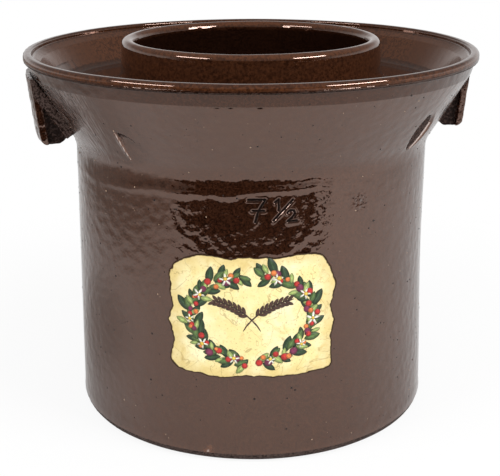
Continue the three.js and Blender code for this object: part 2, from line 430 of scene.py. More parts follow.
def surface(graph, sockets):
    """Ends a material in one Principled surface."""
    shader = graph.add("ShaderNodeBsdfPrincipled", sockets)
    graph.add("ShaderNodeOutputMaterial", {"Surface": shader})


# Materials

# Brown glaze: a range is where a soft step starts and ends, a scale is a noise's
GLAZE_DARK = (0.0092, 0.0028, 0.0012, 1.0)
GLAZE_WARM = (0.0165, 0.0051, 0.0023, 1.0)
GLAZE_FLECK = (0.031, 0.0106, 0.005, 1.0)
# red-brown of thinning glaze, also painted light on the gutter's sides
GLAZE_EDGE_AND_LIGHT = (0.075, 0.026, 0.0105, 1.0)
# black of pooling glaze, also used for painted shade
GLAZE_POOL_AND_SHADE = (0.003, 0.0014, 0.0009, 1.0)
# pale where glaze breaks, also the colour of painted highlights and glints
GLAZE_BREAK_AND_GLINT = (0.46, 0.4, 0.37, 1.0)
GLAZE_SHEEN = (1.0, 0.7, 0.59, 1.0)
GLAZE_IOR = 1.89
RIM_IOR = 1.6
GLAZE_CLOUD_SCALE = 38
GLAZE_CLOUD_RANGE = (0.35, 0.7)
FLECK_SCALE = 780
FLECK_RANGE = (0.38, 0.62)
WORN_SCALE = 520
WORN_RANGE = (0.38, 0.64)
PALE_RANGE = (1.5, 2.5)
MATT_RANGE = (1.0, 1.3)
PEEL_DEPTH = 0.31 * MM
PEEL_SCALE = 180
FINE_PEEL_SCALE = 380
FINE_PEEL_SHARE = 0.35
PEEL_LOSS = 0.75
PEEL_LOSS_RANGE = (0.0, 0.5)
STREAKS_ROUND = 130
STREAKS_UP = 60
STREAK_HEIGHT = 3.2
# painted glints on the drag marks
GLINT_RANGE = (0.36, 0.54)
GLINT_SHARE = 0.45
SMUDGE_PLACE = (64.1 * MM, -97.3 * MM, 162 * MM)
SMUDGE_REACH = (2 * MM, 8 * MM)
SMUDGE_HEIGHT = 5

# Unglazed clay of the foot and the pressed marks; its darker tones also paint shade in the handles'
# hollows, the dents and under the bead
DRY_CLAY = linear(79, 64, 59)
# dark tone of the pressed marks, also painted shade in hollows, dents and under the bead
HOLLOW_CLAY_AND_SHADE = linear(64, 49, 44)
CLAY_GRAIN_SCALE = 900
CLAY_GRAIN_RANGE = (0.4, 0.65)
CLAY_GRAIN_DEPTH = 0.3 * MM
LUMP_SCALE = 520
LUMP_RANGE = (0.4, 0.58)
LUMP_POOL_AND_SHADE_RANGE = (0.8, 1.6)
DEEP_POOL_AND_SHADE_RANGE = (1.55, 1.9)

# Fired clay of the weighting stones
STONE_SAND = linear(168, 148, 122)
STONE_PALE = linear(196, 178, 150)
STONE_SPECK = linear(92, 70, 52)
STONE_CLOUD_SCALE = 45
STONE_SPECK_SCALE = 700
STONE_SPECK_RANGE = (0.66, 0.72)
STONE_GRAIN_SCALE = 1500
STONE_GRAIN_DEPTH = 0.25 * MM

# Label paper
PAPER_PALE = linear(249, 240, 196)
PAPER_DEEP = linear(240, 222, 158)
PAPER_STAIN = linear(221, 192, 122)
PAPER_FOXING = linear(150, 112, 62)
PAPER_TOWARDS_EDGE = linear(214, 188, 120)
PAPER_CREASE = linear(150, 120, 66)
PAPER_BROWNED = linear(54, 35, 19)
PAPER_CLOUD_SCALE = 55
PAPER_CLOUD_RANGE = (0.35, 0.65)
STAIN_SCALE = 130
STAIN_RANGE = (0.56, 0.74)
FOXING_SCALE = 900
FOXING_RANGE = (0.6, 0.74)
FIBRE_SCALE = 2600
FIBRE_DEPTH = 0.05 * MM
CREASE_SCALE = 48
CREASE_RANGE = (0.0, 0.012)
TOWARDS_EDGE_RANGE = (0.72, 1.0)
BROWNED_RANGE = (0.974, 0.988)

# Inks and grit
INK_CLOUD_SCALE = 600
INK_CLOUD_RANGE = (0.4, 0.7)
INK_RIM_RANGE = (0.2, 0.9)
INK_LINE_RANGE = (0.84, 0.97)
INK_VEIN_RANGE = (0.04, 0.16)
GRIT_SCALE = 2000


def brown_glaze(name, ior):
    """Dark glossy glaze with orange peel, thinning red-brown edges, dark pools, drag marks and a rough
    spot; its colour also holds painted shade, painted highlights on the dents' ridges, painted glints on
    the drag marks and lighter gutter sides.
    """
    made, graph, place = material(name)
    thin = graph.attribute("thin")
    cloud = graph.noise(place, GLAZE_CLOUD_SCALE, 4.0, Roughness=0.6)
    fleck = graph.noise(place, FLECK_SCALE)
    worn = graph.smooth(graph.noise(place, WORN_SCALE, 3.0), *WORN_RANGE)
    deep = graph.mix(graph.smooth(cloud, *GLAZE_CLOUD_RANGE), GLAZE_DARK, GLAZE_WARM)
    body = graph.mix(graph.smooth(fleck, *FLECK_RANGE), deep, GLAZE_FLECK)
    colour = graph.mix(graph.smooth(thin * (0.5 + 0.8 * worn), 0.0, 1.0), body, GLAZE_EDGE_AND_LIGHT)
    colour = graph.mix(graph.smooth(0 - thin, 0.0, 1.0), colour, GLAZE_POOL_AND_SHADE)
    colour = graph.mix(graph.smooth(thin, *PALE_RANGE), colour, GLAZE_BREAK_AND_GLINT)

    x, y, z = graph.axes(place)
    turn = x.maths("ARCTAN2", x, 0 - y)
    unrolled = graph.vector(turn * STREAKS_ROUND, z * STREAKS_UP)
    # painted glints: pale streaks on the drag marks beside the handles
    streak_and_glint = graph.attribute("dragged") * graph.noise(unrolled, 1.0)
    colour = graph.mix(graph.smooth(streak_and_glint, *GLINT_RANGE) * GLINT_SHARE, colour, GLAZE_BREAK_AND_GLINT)

    fine = graph.noise(place, FINE_PEEL_SCALE, 1.0)
    peel = graph.noise(place, PEEL_SCALE, 0.0) + FINE_PEEL_SHARE * fine
    even = 1 - PEEL_LOSS * graph.smooth(thin, *PEEL_LOSS_RANGE)
    smudge = 1 - graph.smooth(graph.distance(place, SMUDGE_PLACE), *SMUDGE_REACH)
    height = even * peel + STREAK_HEIGHT * streak_and_glint + SMUDGE_HEIGHT * smudge * (fine - 0.5)
    surface(graph, {
        "Base Color": colour,
        "Roughness": 0.03 + 0.06 * cloud + 0.12 * graph.smooth(thin, *MATT_RANGE),
        "IOR": ior,
        "Specular Tint": GLAZE_SHEEN,
        "Normal": graph.bump(height, PEEL_DEPTH),
    })
    return made


def dry_clay_and_shade():
    """Unglazed dark clay, lumpy with glaze where some has run over it and black where glaze pools; the same
    darkening paints shade in hollows, dents and under the bead.
    """
    made, graph, place = material("dry_clay_and_shade")
    pooled_and_shaded = 0 - graph.attribute("thin")
    grain = graph.noise(place, CLAY_GRAIN_SCALE, 3.0)
    lump = graph.smooth(graph.noise(place, LUMP_SCALE), *LUMP_RANGE)
    # darker tones for pooling glaze and for painted shade
    clay = graph.mix(graph.smooth(pooled_and_shaded, 0.0, 1.0), DRY_CLAY, HOLLOW_CLAY_AND_SHADE)
    clay = graph.mix(graph.smooth(pooled_and_shaded, *LUMP_POOL_AND_SHADE_RANGE) * (0.2 + 0.7 * lump), clay, GLAZE_POOL_AND_SHADE)
    clay = graph.mix(graph.smooth(pooled_and_shaded, *DEEP_POOL_AND_SHADE_RANGE), clay, GLAZE_POOL_AND_SHADE)
    surface(graph, {
        "Base Color": graph.mix(graph.smooth(grain, *CLAY_GRAIN_RANGE), clay, GLAZE_DARK),
        "Roughness": 0.6,
        "Specular IOR Level": 0.1,
        "Normal": graph.bump(grain, CLAY_GRAIN_DEPTH),
    })
    return made


def bare_stoneware():
    """Unglazed fired clay of the weighting stones: sandy, speckled and matt."""
    made, graph, place = material("bare_stoneware")
    cloud = graph.noise(place, STONE_CLOUD_SCALE, 5.0, Roughness=0.6)
    speck = graph.smooth(graph.noise(place, STONE_SPECK_SCALE, 1.0), *STONE_SPECK_RANGE)
    clay = graph.mix(cloud, STONE_SAND, STONE_PALE)
    grain = graph.noise(place, STONE_GRAIN_SCALE, 3.0)
    surface(graph, {
        "Base Color": graph.mix(speck * 0.7, clay, STONE_SPECK),
        "Roughness": 0.82 + 0.1 * cloud,
        "Normal": graph.bump(grain, STONE_GRAIN_DEPTH, 0.6),
    })
    return made


def label_paper():
    """Yellowed parchment-like paper: clouded, foxed, creased, browned at its torn edge."""
    made, graph, place = material("label_paper")
    edge = graph.attribute("edge")
    cloud = graph.noise(place, PAPER_CLOUD_SCALE, 5.0, Roughness=0.62)
    stain = graph.noise(place, STAIN_SCALE, 4.0, Roughness=0.65, Distortion=0.6)
    foxing = graph.smooth(graph.noise(place, FOXING_SCALE), *FOXING_RANGE)
    fibre = graph.noise(place, FIBRE_SCALE)
    folds = graph.noise(place, CREASE_SCALE, 3.0, Distortion=1.2)
    crease = 1 - graph.smooth(folds.maths("ABSOLUTE", folds - 0.5), *CREASE_RANGE)
    towards_edge = graph.smooth(edge + (stain - 0.5) * 0.3, *TOWARDS_EDGE_RANGE)
    browned = graph.smooth(edge + (stain - 0.5) * 0.03, *BROWNED_RANGE)
    paper = graph.mix(graph.smooth(cloud, *PAPER_CLOUD_RANGE), PAPER_PALE, PAPER_DEEP)
    paper = graph.mix(graph.smooth(stain, *STAIN_RANGE) * 0.55, paper, PAPER_STAIN)
    paper = graph.mix(foxing * 0.5, paper, PAPER_FOXING)
    paper = graph.mix(towards_edge * 0.7, paper, PAPER_TOWARDS_EDGE)
    paper = graph.mix(crease * cloud * 0.9, paper, PAPER_CREASE)
    surface(graph, {
        "Base Color": graph.mix(browned, paper, PAPER_BROWNED),
        "Roughness": 0.5 + 0.15 * cloud,
        "Specular IOR Level": 0.15,
        "Normal": graph.bump(fibre, FIBRE_DEPTH, 0.3),
    })
    return made


def ink(name, colour, vein=0.0):
    """Printing ink on the label: light in the middle of a shape, dark at its rim, with a pale vein."""
    made, graph, place = material(name)
    rim = graph.attribute("rim")
    along = 1 - graph.smooth(graph.attribute("vein"), *INK_VEIN_RANGE)
    cloud = graph.smooth(graph.noise(place, INK_CLOUD_SCALE, 3.0), *INK_CLOUD_RANGE)
    tone = graph.mix(graph.smooth(rim, *INK_RIM_RANGE), tinted(colour, 1.3), tinted(colour, 0.8))
    tone = graph.mix(cloud * 0.6, tone, tinted(colour, 0.5))
    tone = graph.mix(along * vein, tone, tinted(colour, 2.6))
    tone = graph.mix(graph.smooth(rim, *INK_LINE_RANGE) * 0.8, tone, tinted(colour, 0.3))
    surface(graph, {"Base Color": tone, "Roughness": 0.5})
    return made


def grit(name, colour, roughness):
    """A grain in the glaze."""
    made, graph, place = material(name)
    tone = graph.mix(graph.noise(place, GRIT_SCALE), colour, tinted(colour, 1.5))
    surface(graph, {"Base Color": tone, "Roughness": roughness})
    return made


# Sections and meshes

def flare_outer(height):
    return WALL_TOP_RADIUS + flare_slope * (height - flare_foot)


def flare_inner(height):
    return flare_outer(height) - flare_reach


def rounded(corners, closed=False):
    """Points of a section given as corners (radius, height, rounding); a rounding becomes an arc."""
    points = []
    for index, (radius, height, *rounding) in enumerate(corners):
        corner = np.array([radius, height])
        is_end = not closed and index in (0, len(corners) - 1)
        if is_end or not rounding:
            points.append(corner)
            continue
        before = np.array(corners[index - 1][:2]) - corner
        after = np.array(corners[(index + 1) % len(corners)][:2]) - corner
        lengths = np.linalg.norm(before), np.linalg.norm(after)
        before, after = before / lengths[0], after / lengths[1]
        half_angle = math.acos(np.clip(before @ after, -1, 1)) / 2
        reach = min(rounding[0] / math.tan(half_angle), EDGE_SHARE * min(lengths))
        across = (before + after) / np.linalg.norm(before + after)
        centre = corner + across * reach / math.cos(half_angle)
        start, end = corner + before * reach - centre, corner + after * reach - centre
        sweep = math.pi - 2 * half_angle
        steps = max(LEAST_ARC_STEPS, math.ceil(sweep / ARC_STEP))
        for step in range(steps + 1):
            share = step / steps
            arm = math.sin((1 - share) * sweep) * start + math.sin(share * sweep) * end
            points.append(centre + arm / math.sin(sweep))
    return np.array(points)


def spaced(points, step_at, closed=False):
    """The same line with points added, so that no stretch is longer than the step there."""
    def halved(start, end):
        middle = (start + end) / 2
        if np.linalg.norm(end - start) <= step_at(*middle):
            return [start]
        return halved(start, middle) + halved(middle, end)

    line = [*points, points[0]] if closed else points
    out = [point for start, end in zip(line[:-1], line[1:]) for point in halved(start, end)]
    return np.array(out if closed else [*out, points[-1]])


def columns(zones):
    """Azimuths of a turned mesh."""
    parts = []
    for low, high, step in zones:
        parts.append(np.linspace(low, high, math.ceil((high - low) / step), endpoint=False))
    return np.radians(np.concatenate(parts))


def new_object(name, data, *finishes):
    made = bpy.data.objects.new(name, data)
    bpy.context.scene.collection.objects.link(made)
    for finish in finishes:
        data.materials.append(finish)
    return made


def set_attribute(mesh, name, values):
    attribute = mesh.attributes.new(name, "FLOAT", "POINT")
    attribute.data.foreach_set("value", np.ascontiguousarray(values, dtype=np.float32))


def shade_smooth(mesh):
    mesh.polygons.foreach_set("use_smooth", np.ones(len(mesh.polygons), bool))


def weld(mesh, to_front=False):
    """Merges points that lie on each other; a sheet's faces can be turned to the front as well."""
    work = bmesh.new()
    work.from_mesh(mesh)
    bmesh.ops.remove_doubles(work, verts=work.verts, dist=TOUCH)
    if to_front:
        bmesh.ops.recalc_face_normals(work, faces=work.faces)
        if sum(face.normal.y for face in work.faces) > 0:
            bmesh.ops.reverse_faces(work, faces=work.faces)
    work.to_mesh(mesh)
    work.free()


def ring_mesh(name, places, closed=False):
    """A mesh from rings of points, each ring joined to the next."""
    rows, count, _ = places.shape
    faces = []
    for row in range(rows if closed else rows - 1):
        low = row * count + np.arange(count)
        high = (row + 1) % rows * count + np.arange(count)
        faces.append(np.stack([low, np.roll(low, -1), np.roll(high, -1), high], -1))
    mesh = bpy.data.meshes.new(name)
    mesh.from_pydata(places.reshape(-1, 3).tolist(), [], np.concatenate(faces).tolist())
    return mesh


def turned(name, profile, azimuths, finish, shape, closed=False, **fields):
    """A profile of (radius, height) turned about Z; shape() moves the skin, fields are attributes."""
    tangent = np.roll(profile, -1, 0) - np.roll(profile, 1, 0)
    if not closed:
        tangent[0], tangent[-1] = profile[1] - profile[0], profile[-1] - profile[-2]
    tangent /= np.linalg.norm(tangent, axis=1, keepdims=True)
    radius, height, azimuth = np.broadcast_arrays(profile[:, :1], profile[:, 1:], azimuths[None, :])
    lift = np.where(radius < TOUCH, 0, shape(azimuth, radius, height))
    moved = radius + lift * tangent[:, 1:]
    raised = height - lift * tangent[:, :1]
    places = np.stack([moved * np.sin(azimuth), -moved * np.cos(azimuth), raised], -1)
    mesh = ring_mesh(name, places, closed)
    for label, field in fields.items():
        set_attribute(mesh, label, field(azimuth, radius, height).ravel())
    weld(mesh)
    shade_smooth(mesh)
    return new_object(name, mesh, finish)


def face_places(mesh):
    """Centres and normals of a mesh's faces."""
    out = []
    for kind in ("center", "normal"):
        values = np.empty(3 * len(mesh.polygons), np.float32)
        mesh.polygons.foreach_get(kind, values)
        out.append(values.reshape(-1, 3).astype(float))
    return out


def refinish(mesh, finish, picked):
    """Gives another finish to the picked faces."""
    mesh.materials.append(finish)
    index = np.empty(len(mesh.polygons), np.int32)
    mesh.polygons.foreach_get("material_index", index)
    index[picked] = len(mesh.materials) - 1
    mesh.polygons.foreach_set("material_index", index)


def bell(value, width):
    return np.exp(-(value / width) ** 2)


def step_down(value, place, softness):
    """1 well below a place, 0 well above it."""
    return 1 / (1 + np.exp(np.clip((value - place) / softness, -50, 50)))


# Pot body

Pinch = namedtuple("Pinch", "hollow shaded ridge crest")
Scoop = namedtuple("Scoop", "hollow lip crest")


def stamp_distance(azimuth, height):
    """Distance along the wall from the nearest stroke of the pressed number."""
    place = np.stack([(azimuth - STAMP_AZIMUTH) * WALL_TOP_RADIUS, height - STAMP_HEIGHT], -1)
    nearest = np.full(azimuth.shape, np.inf)
    for stroke in STAMP_STROKES:
        for start, end in zip(stroke[:-1], stroke[1:]):
            start, end = np.array(start) * MM, np.array(end) * MM
            run = end - start
            offset = place - start
            share = np.clip(offset @ run / (run @ run), 0, 1)
            away = np.linalg.norm(offset - share[..., None] * run, axis=-1)
            nearest = np.minimum(nearest, away)
    return nearest


def pressed(away):
    """How far a point at a distance from a stroke is pressed in: 1 on the stroke, 0 away from it."""
    return step_down(away, STROKE, STROKE_SOFTNESS)


def stamp(azimuth, height):
    """A number pressed into the wall, with a low lip of clay round its strokes."""
    away = stamp_distance(azimuth, height)
    return STAMP_LIP * bell(away - STAMP_LIP_AWAY, STAMP_LIP_WIDTH) - STAMP_DEPTH * pressed(away)


def pinch(azimuth, height):
    """A fingertip's dent on the left of the flare, with painted shade at its top, a sharp ridge on its left
    and a painted highlight along the ridge.
    """
    up = height - PINCH_HEIGHT
    across = (azimuth - PINCH_AZIMUTH) * flare_outer(PINCH_HEIGHT) + PINCH_SLANT * up
    top = PINCH_TOP - PINCH_DROP * np.clip(across / PINCH_WIDTH, 0, 1.2) ** 4
    right = np.clip((across - PINCH_START) / PINCH_FADE, 0, 1)
    under_top = step_down(up, top, PINCH_TOP_FADE) * bell(up - top, PINCH_TOP)
    hollow = right * bell(across, 0.7 * PINCH_WIDTH) * under_top
    shadow = PINCH_SHADOW * (1 - across / (1.2 * PINCH_WIDTH))
    shaded = right * (up < top) * (up > top - shadow)
    width = np.where(across < 0, PINCH_RIDGE_LEFT, PINCH_RIDGE_RIGHT)
    ridge = bell(across, width) * bell(up + PINCH_RIDGE_DROP, PINCH_TOP)
    crest = bell(across, PINCH_GLINT_WIDTH) * (np.abs(up - PINCH_GLINT_RISE) < PINCH_TOP)
    return Pinch(hollow, shaded, ridge, crest)


def scoop(azimuth, height):
    """A lens-shaped dent on the right of the flare, steep on its left, and the lip on its right, with
    painted shade inside it and a painted highlight just inside its right edge.
    """
    up = height - SCOOP_HEIGHT
    across = (azimuth - SCOOP_AZIMUTH) * flare_outer(SCOOP_HEIGHT) - SCOOP_SLANT * up
    window = np.clip(1 - (up / SCOOP_LENGTH) ** 2, 0, 1)
    half = SCOOP_WIDTH * np.sqrt(window) + SCOOP_TIP
    rise = np.clip((half - across) / (2 * half), 0, 1) * np.clip((half + across) / SCOOP_STEEP, 0, 1)
    lip = window * bell(across - half - SCOOP_LIP_WIDTH, SCOOP_LIP_WIDTH)
    crest = bell(across - half + SCOOP_GLINT, SCOOP_GLINT)
    crest = crest * (np.abs(up + SCOOP_GLINT_DROP) < 0.7 * SCOOP_LENGTH)
    return Scoop(window * rise, lip, crest)


def chips(azimuth, height):
    """Small dents in the lower edge of the band at the front."""
    low = bell(height - band_bottom + CHIP_DROP, CHIP_WIDTH)
    spots = sum(bell((azimuth - middle) * band_radius, CHIP_LENGTH) for middle in CHIP_AZIMUTHS)
    return -CHIP_DEPTH * low * spots


def waver(azimuth, height):
    """Slow unevenness of a hand-finished wall."""
    slow = np.sin(3 * azimuth + 0.7 + 9 * height) + 0.7 * np.sin(7 * azimuth - 31 * height)
    quick = np.sin(17 * azimuth + 60 * height) * np.sin(75 * height + 2 * azimuth)
    return WAVER_SLOW * slow + WAVER_QUICK * quick


def ridge(azimuth, height):
    """A turning ridge on the front and left of the wall, rising and fading out to the right."""
    line = RIDGE_HEIGHT + RIDGE_RISE * np.sin(azimuth)
    uneven = RIDGE_WAVE * np.sin(9 * azimuth) + RIDGE_RIPPLE * np.sin(23 * azimuth + 1)
    up = height - line - uneven
    section = bell(up, np.where(up < 0, RIDGE_SPREAD, RIDGE_UPPER_SPREAD))
    present = step_down(-np.cos(azimuth - RIDGE_MIDDLE), -math.cos(RIDGE_SPAN), RIDGE_FADE)
    crest = step_down(-np.cos(azimuth - RIDGE_CREST), -math.cos(RIDGE_CREST_SPAN), RIDGE_CREST_FADE)
    return RIDGE_SWELL * present * (0.35 + 0.65 * crest) * section


def waist(azimuth, height):
    """The wall draws in a little on the right, half way up."""
    beside = bell(azimuth - WAIST_AZIMUTH, WAIST_SPAN)
    return -WAIST_DEPTH * beside * bell(height - WAIST_HEIGHT, WAIST_SPREAD)


def wall_inside(height):
    """A radius in the middle of the pot's wall."""
    straight = np.interp(height, [0, flare_foot], [WALL_BASE_RADIUS, WALL_TOP_RADIUS])
    return np.where(height > flare_foot, flare_outer(height), straight) - WALL_THICKNESS / 2


def wall_outside(height):
    """Radius of the pot's plain outside."""
    line = rounded([
        (WALL_BASE_RADIUS, 0),
        (WALL_TOP_RADIUS, flare_foot, FLARE_FILLET),
        (band_radius, band_bottom, BAND_HEIGHT / 2),
        (band_radius, RIM_HEIGHT),
    ])
    return np.interp(height, line[:, 1], line[:, 0])


def pot_shape(azimuth, radius, height):
    """What departs from the pure turned form of the pot."""
    outside = (radius > wall_inside(height)) & (height > UNDERSIDE) & (height < band_bottom)
    roll = GLAZE_ROLL * bell(height - FOOT_LINE - GLAZE_ROLL_RISE, GLAZE_ROLL_WIDTH)
    lines = ridge(azimuth, height) + waist(azimuth, height) + roll
    scooped = scoop(azimuth, height)
    pinched = pinch(azimuth, height)
    dents = SCOOP_LIP * scooped.lip - SCOOP_DEPTH * scooped.hollow
    dents = dents + PINCH_RIDGE * pinched.ridge - PINCH_DEPTH * pinched.hollow
    marks = stamp(azimuth, height) + (dents + chips(azimuth, height))
    return np.where(outside, marks + lines, 0) + waver(azimuth, height)


def pot_thin(azimuth, radius, height):
    """Thinness of the pot's glaze, with painted light and shade added: painted shade inside, under the bead
    and in the dents, painted highlights on the dents' ridges and lighter gutter sides.
    """
    outside = radius > wall_inside(height)
    inside = (radius < wall_inside(height)) & (height < LEDGE_HEIGHT)
    scooped = scoop(azimuth, height)
    pinched = pinch(azimuth, height)

    on_bead = radius > RIM_RADIUS - 1.2 * RIM_THICKNESS
    outer_face = step_down(height, RIM_HEIGHT - BEAD_FACE_DEPTH, BEAD_FACE_FADE)
    outer_face = outer_face * (radius > RIM_RADIUS - RIM_THICKNESS / 2)
    bead = np.clip((height - bead_bottom) / BEAD_FADE, 0, 1) * on_bead
    bead = bead * (BEAD_TOP_THIN + (1 - BEAD_TOP_THIN) * outer_face)
    # painted light: the gutter's left and right sides are coloured lighter
    gutter = (~outside & ~on_bead & (height > LEDGE_HEIGHT)) * GUTTER_SIDE_LIGHT * np.sin(azimuth) ** 2

    nick = bell((azimuth - NICK_AZIMUTH) * WALL_BASE_RADIUS, NICK_LENGTH)
    nick = nick * bell(height - NICK_HEIGHT, NICK_WIDTH)
    broken_and_glinting = FOOT_EDGE_THIN * bell(height - FOOT_LINE - FOOT_EDGE_RISE, FOOT_EDGE_WIDTH)
    # painted highlights: pale lines along both dents' ridges
    broken_and_glinting = broken_and_glinting + CREST_HIGHLIGHT * (pinched.crest + scooped.crest) + NICK_THIN * nick

    pooled_and_shaded = STAMP_POOL * pressed(stamp_distance(azimuth, height)) - chips(azimuth, height) / CHIP_DEPTH
    # painted shade in both dents
    pooled_and_shaded = pooled_and_shaded + PINCH_SHADE * pinched.shaded + SCOOP_SHADE * (scooped.hollow > SCOOP_SHADE_FROM)
    # painted shade: a dark line under the rolled bead
    under_bead = bell(height - bead_bottom, 2 * BEAD_SHADOW) * (radius > band_radius + BAND_CLEARANCE)
    # painted shade darkens the inside of the pot
    return bead + gutter + outside * (broken_and_glinting - pooled_and_shaded) - BEAD_SHADE * under_bead - INSIDE_SHADE * inside


def pot_dragged(azimuth, radius, height):
    """Where wet clay was smoothed beside the handles: drag marks in the bump, with painted glints on them.
    """
    turns = [(azimuth - middle + math.pi) % (2 * math.pi) - math.pi for middle in LUG_AZIMUTHS]
    beside = np.maximum(*(bell(turn, DRAG_SPAN) for turn in turns))
    high = np.clip((height - DRAG_BOTTOM) / DRAG_FADE, 0, 1) * (height < band_bottom)
    return beside * high * (radius > wall_inside(height))


def pot_outside(azimuth, radius, height):
    """1 on the visible outside of the wall and flare, where specks are strewn."""
    return (radius > wall_inside(height)) & (height > SPECKS_BOTTOM) & (height < bead_bottom)


def pot_step(radius, height):
    """Longest stretch of the pot's section: short at the stamp, long where little is seen."""
    if radius < wall_inside(height) or height < UNDERSIDE:
        return HIDDEN_STEP if height < gutter_floor else GUTTER_STEP
    if abs(height - STAMP_HEIGHT - STAMP_MIDDLE) < STAMP_REACH:
        return STAMP_STEP
    if abs(height - band_bottom) < BAND_EDGE_REACH:
        return BAND_EDGE_STEP
    if height < 1.5 * FOOT_LINE:
        return FOOT_STEP
    if abs(height - RIDGE_HEIGHT) < RIDGE_REACH or abs(height - PINCH_HEIGHT) < PINCH_REACH:
        return MARKS_STEP
    return UPPER_STEP if height > UPPER_BOTTOM else LOWER_STEP


def on_rim(radius, height):
    """The band and the outer face of the rolled bead."""
    low_face = (height > band_bottom) & (height < RIM_HEIGHT - BEAD_TOP)
    return low_face & (radius > wall_inside(height)) & (radius > RIM_RADIUS - RIM_THICKNESS)


def unglazed_and_shaded(azimuth, radius, height):
    """The foot and the pressed number, matt as dry clay, and as painted shade the line under the bead and
    the dents' deep parts.
    """
    under_bead = (np.abs(height - bead_bottom) < BEAD_SHADOW) & (radius > band_radius + BAND_CLEARANCE)
    stroke = pressed(stamp_distance(azimuth, height)) > 0.4
    scooped = scoop(azimuth, height).hollow > SCOOP_MATT_FROM
    shaded = pinch(azimuth, height).shaded > 0.5
    outside = radius > wall_inside(height)
    return (height < FOOT_LINE) | under_bead | ((stroke | scooped | shaded) & outside)


def pot_body(finish, dry_and_shade_finish, rim_finish):
    bead_round = LIP_SHARE * RIM_THICKNESS
    lip_inside = RIM_RADIUS - RIM_THICKNESS
    crease = RIM_HEIGHT - CREASE_DEPTH
    foot_inside = WALL_BASE_RADIUS - HEEL_ROUND - FOOT_RING_WIDTH
    ledge_outer = flare_inner(LEDGE_HEIGHT)
    ledge_inner = ledge_outer - LEDGE_WIDTH
    shoulder = LEDGE_HEIGHT - (ledge_inner - inner_top_radius) / flare_slope
    profile = rounded([
        (0, FOOT_RECESS),
        (foot_inside - FOOT_RECESS, FOOT_RECESS, SOFT_EDGE),
        (foot_inside, 0, SOFT_EDGE),
        (WALL_BASE_RADIUS, 0, HEEL_ROUND),
        (WALL_TOP_RADIUS, flare_foot, FLARE_FILLET),
        (band_radius - BAND_LEAN, band_bottom, BAND_HEIGHT / 4),
        (band_radius - BAND_UPPER_LEAN, band_bottom + BAND_HEIGHT / 2, BAND_HEIGHT / 2),
        (band_radius, bead_bottom, SOFT_EDGE),
        (RIM_RADIUS, bead_bottom, BAND_INSET / 2),
        (RIM_RADIUS, RIM_HEIGHT, bead_round),
        (lip_inside, RIM_HEIGHT, bead_round),
        (lip_inside, (RIM_HEIGHT + crease) / 2, SOFT_EDGE),
        (flare_inner(crease), crease, SOFT_EDGE),
        (ledge_outer, LEDGE_HEIGHT),
        (ledge_inner, LEDGE_HEIGHT, SOFT_EDGE),
        (inner_top_radius, shoulder, SHOULDER_ROUND),
        (inner_base_radius, FLOOR_THICKNESS, FLOOR_FILLET),
        (0, FLOOR_THICKNESS),
    ])
    made = turned("pot_skin", spaced(profile, pot_step), columns(POT_COLUMNS), finish, pot_shape,
                  thin=pot_thin, dragged=pot_dragged, outside=pot_outside)
    centres, _ = face_places(made.data)
    radius = np.hypot(centres[:, 0], centres[:, 1])
    azimuth = np.arctan2(centres[:, 0], -centres[:, 1])
    refinish(made.data, rim_finish, on_rim(radius, centres[:, 2]))
    # matt finish, partly as painted shade under the bead and in the dents
    refinish(made.data, dry_and_shade_finish, unglazed_and_shaded(azimuth, radius, centres[:, 2]))
    return made


# Collar

def collar_thin(azimuth, radius, height):
    """Thinness of the collar's glaze: thinning on its lip, with painted shade darkening its bore."""
    lip_bottom = COLLAR_TOP - COLLAR_THICKNESS / 2
    lip = np.clip((height - COLLAR_TOP + COLLAR_THICKNESS / 2) / COLLAR_LIP_FADE, 0, 1)
    bore = (radius < collar_bore + 0.1 * COLLAR_THICKNESS) & (height < lip_bottom)
    wall = (radius > COLLAR_RADIUS - COLLAR_THICKNESS / 2) & (height < COLLAR_TOP)
    # painted shade darkens the bore
    return np.maximum(lip, COLLAR_THIN * wall) - INSIDE_SHADE * bore


def collar_shape(azimuth, radius, height):
    return waver(azimuth + 1, height)


def collar_step(radius, height):
    seen = radius > COLLAR_RADIUS - COLLAR_THICKNESS / 2 and height > gutter_floor - MM
    return COLLAR_STEP if seen else COLLAR_INNER_STEP


def collar_ring(finish):
    """Gutter floor and collar; its outer edge runs up the flare as a soft corner and sinks into it."""
    lip_round = LIP_SHARE * COLLAR_THICKNESS
    rise = gutter_floor + GUTTER_CORNER
    profile = rounded([
        (collar_bore, LEDGE_HEIGHT, NECK_ROUND),
        (flare_inner(LEDGE_HEIGHT) + SINK, LEDGE_HEIGHT),
        (flare_inner(rise) + SINK, rise),
        (flare_inner(rise), rise),
        (flare_inner(gutter_floor), gutter_floor, 2 * GUTTER_CORNER),
        (COLLAR_RADIUS + COLLAR_DRAFT, gutter_floor, COLLAR_FILLET),
        (COLLAR_RADIUS, COLLAR_TOP, lip_round),
        (collar_bore, COLLAR_TOP, lip_round),
    ], closed=True)
    section = spaced(profile, collar_step, True)
    return turned("collar_skin", section, columns(COLLAR_COLUMNS), finish, collar_shape, True,
                  thin=collar_thin)


# Lug handles and stones, softened from their solids

def applied(made, name, *finishes):
    """The object's evaluated mesh as a plain new object; the source object goes."""
    evaluated = made.evaluated_get(bpy.context.evaluated_depsgraph_get())
    mesh = bpy.data.meshes.new_from_object(evaluated)
    old = made.data
    bpy.data.objects.remove(made)
    bpy.data.meshes.remove(old)
    mesh.name = name
    mesh.materials.clear()
    shade_smooth(mesh)
    return new_object(name, mesh, *finishes)


def thicken(made, thickness):
    solid = made.modifiers.new("thickness", "SOLIDIFY")
    solid.thickness = thickness
    solid.offset = 1.0


def points_of(mesh):
    places = np.empty(len(mesh.vertices) * 3, np.float32)
    mesh.vertices.foreach_get("co", places)
    return places.reshape(-1, 3).astype(float)


def normals_of(mesh):
    return np.array([vertex.normal for vertex in mesh.vertices])


def move_points(mesh, places):
    mesh.vertices.foreach_set("co", np.ascontiguousarray(places, dtype=np.float32).ravel())
    mesh.update()


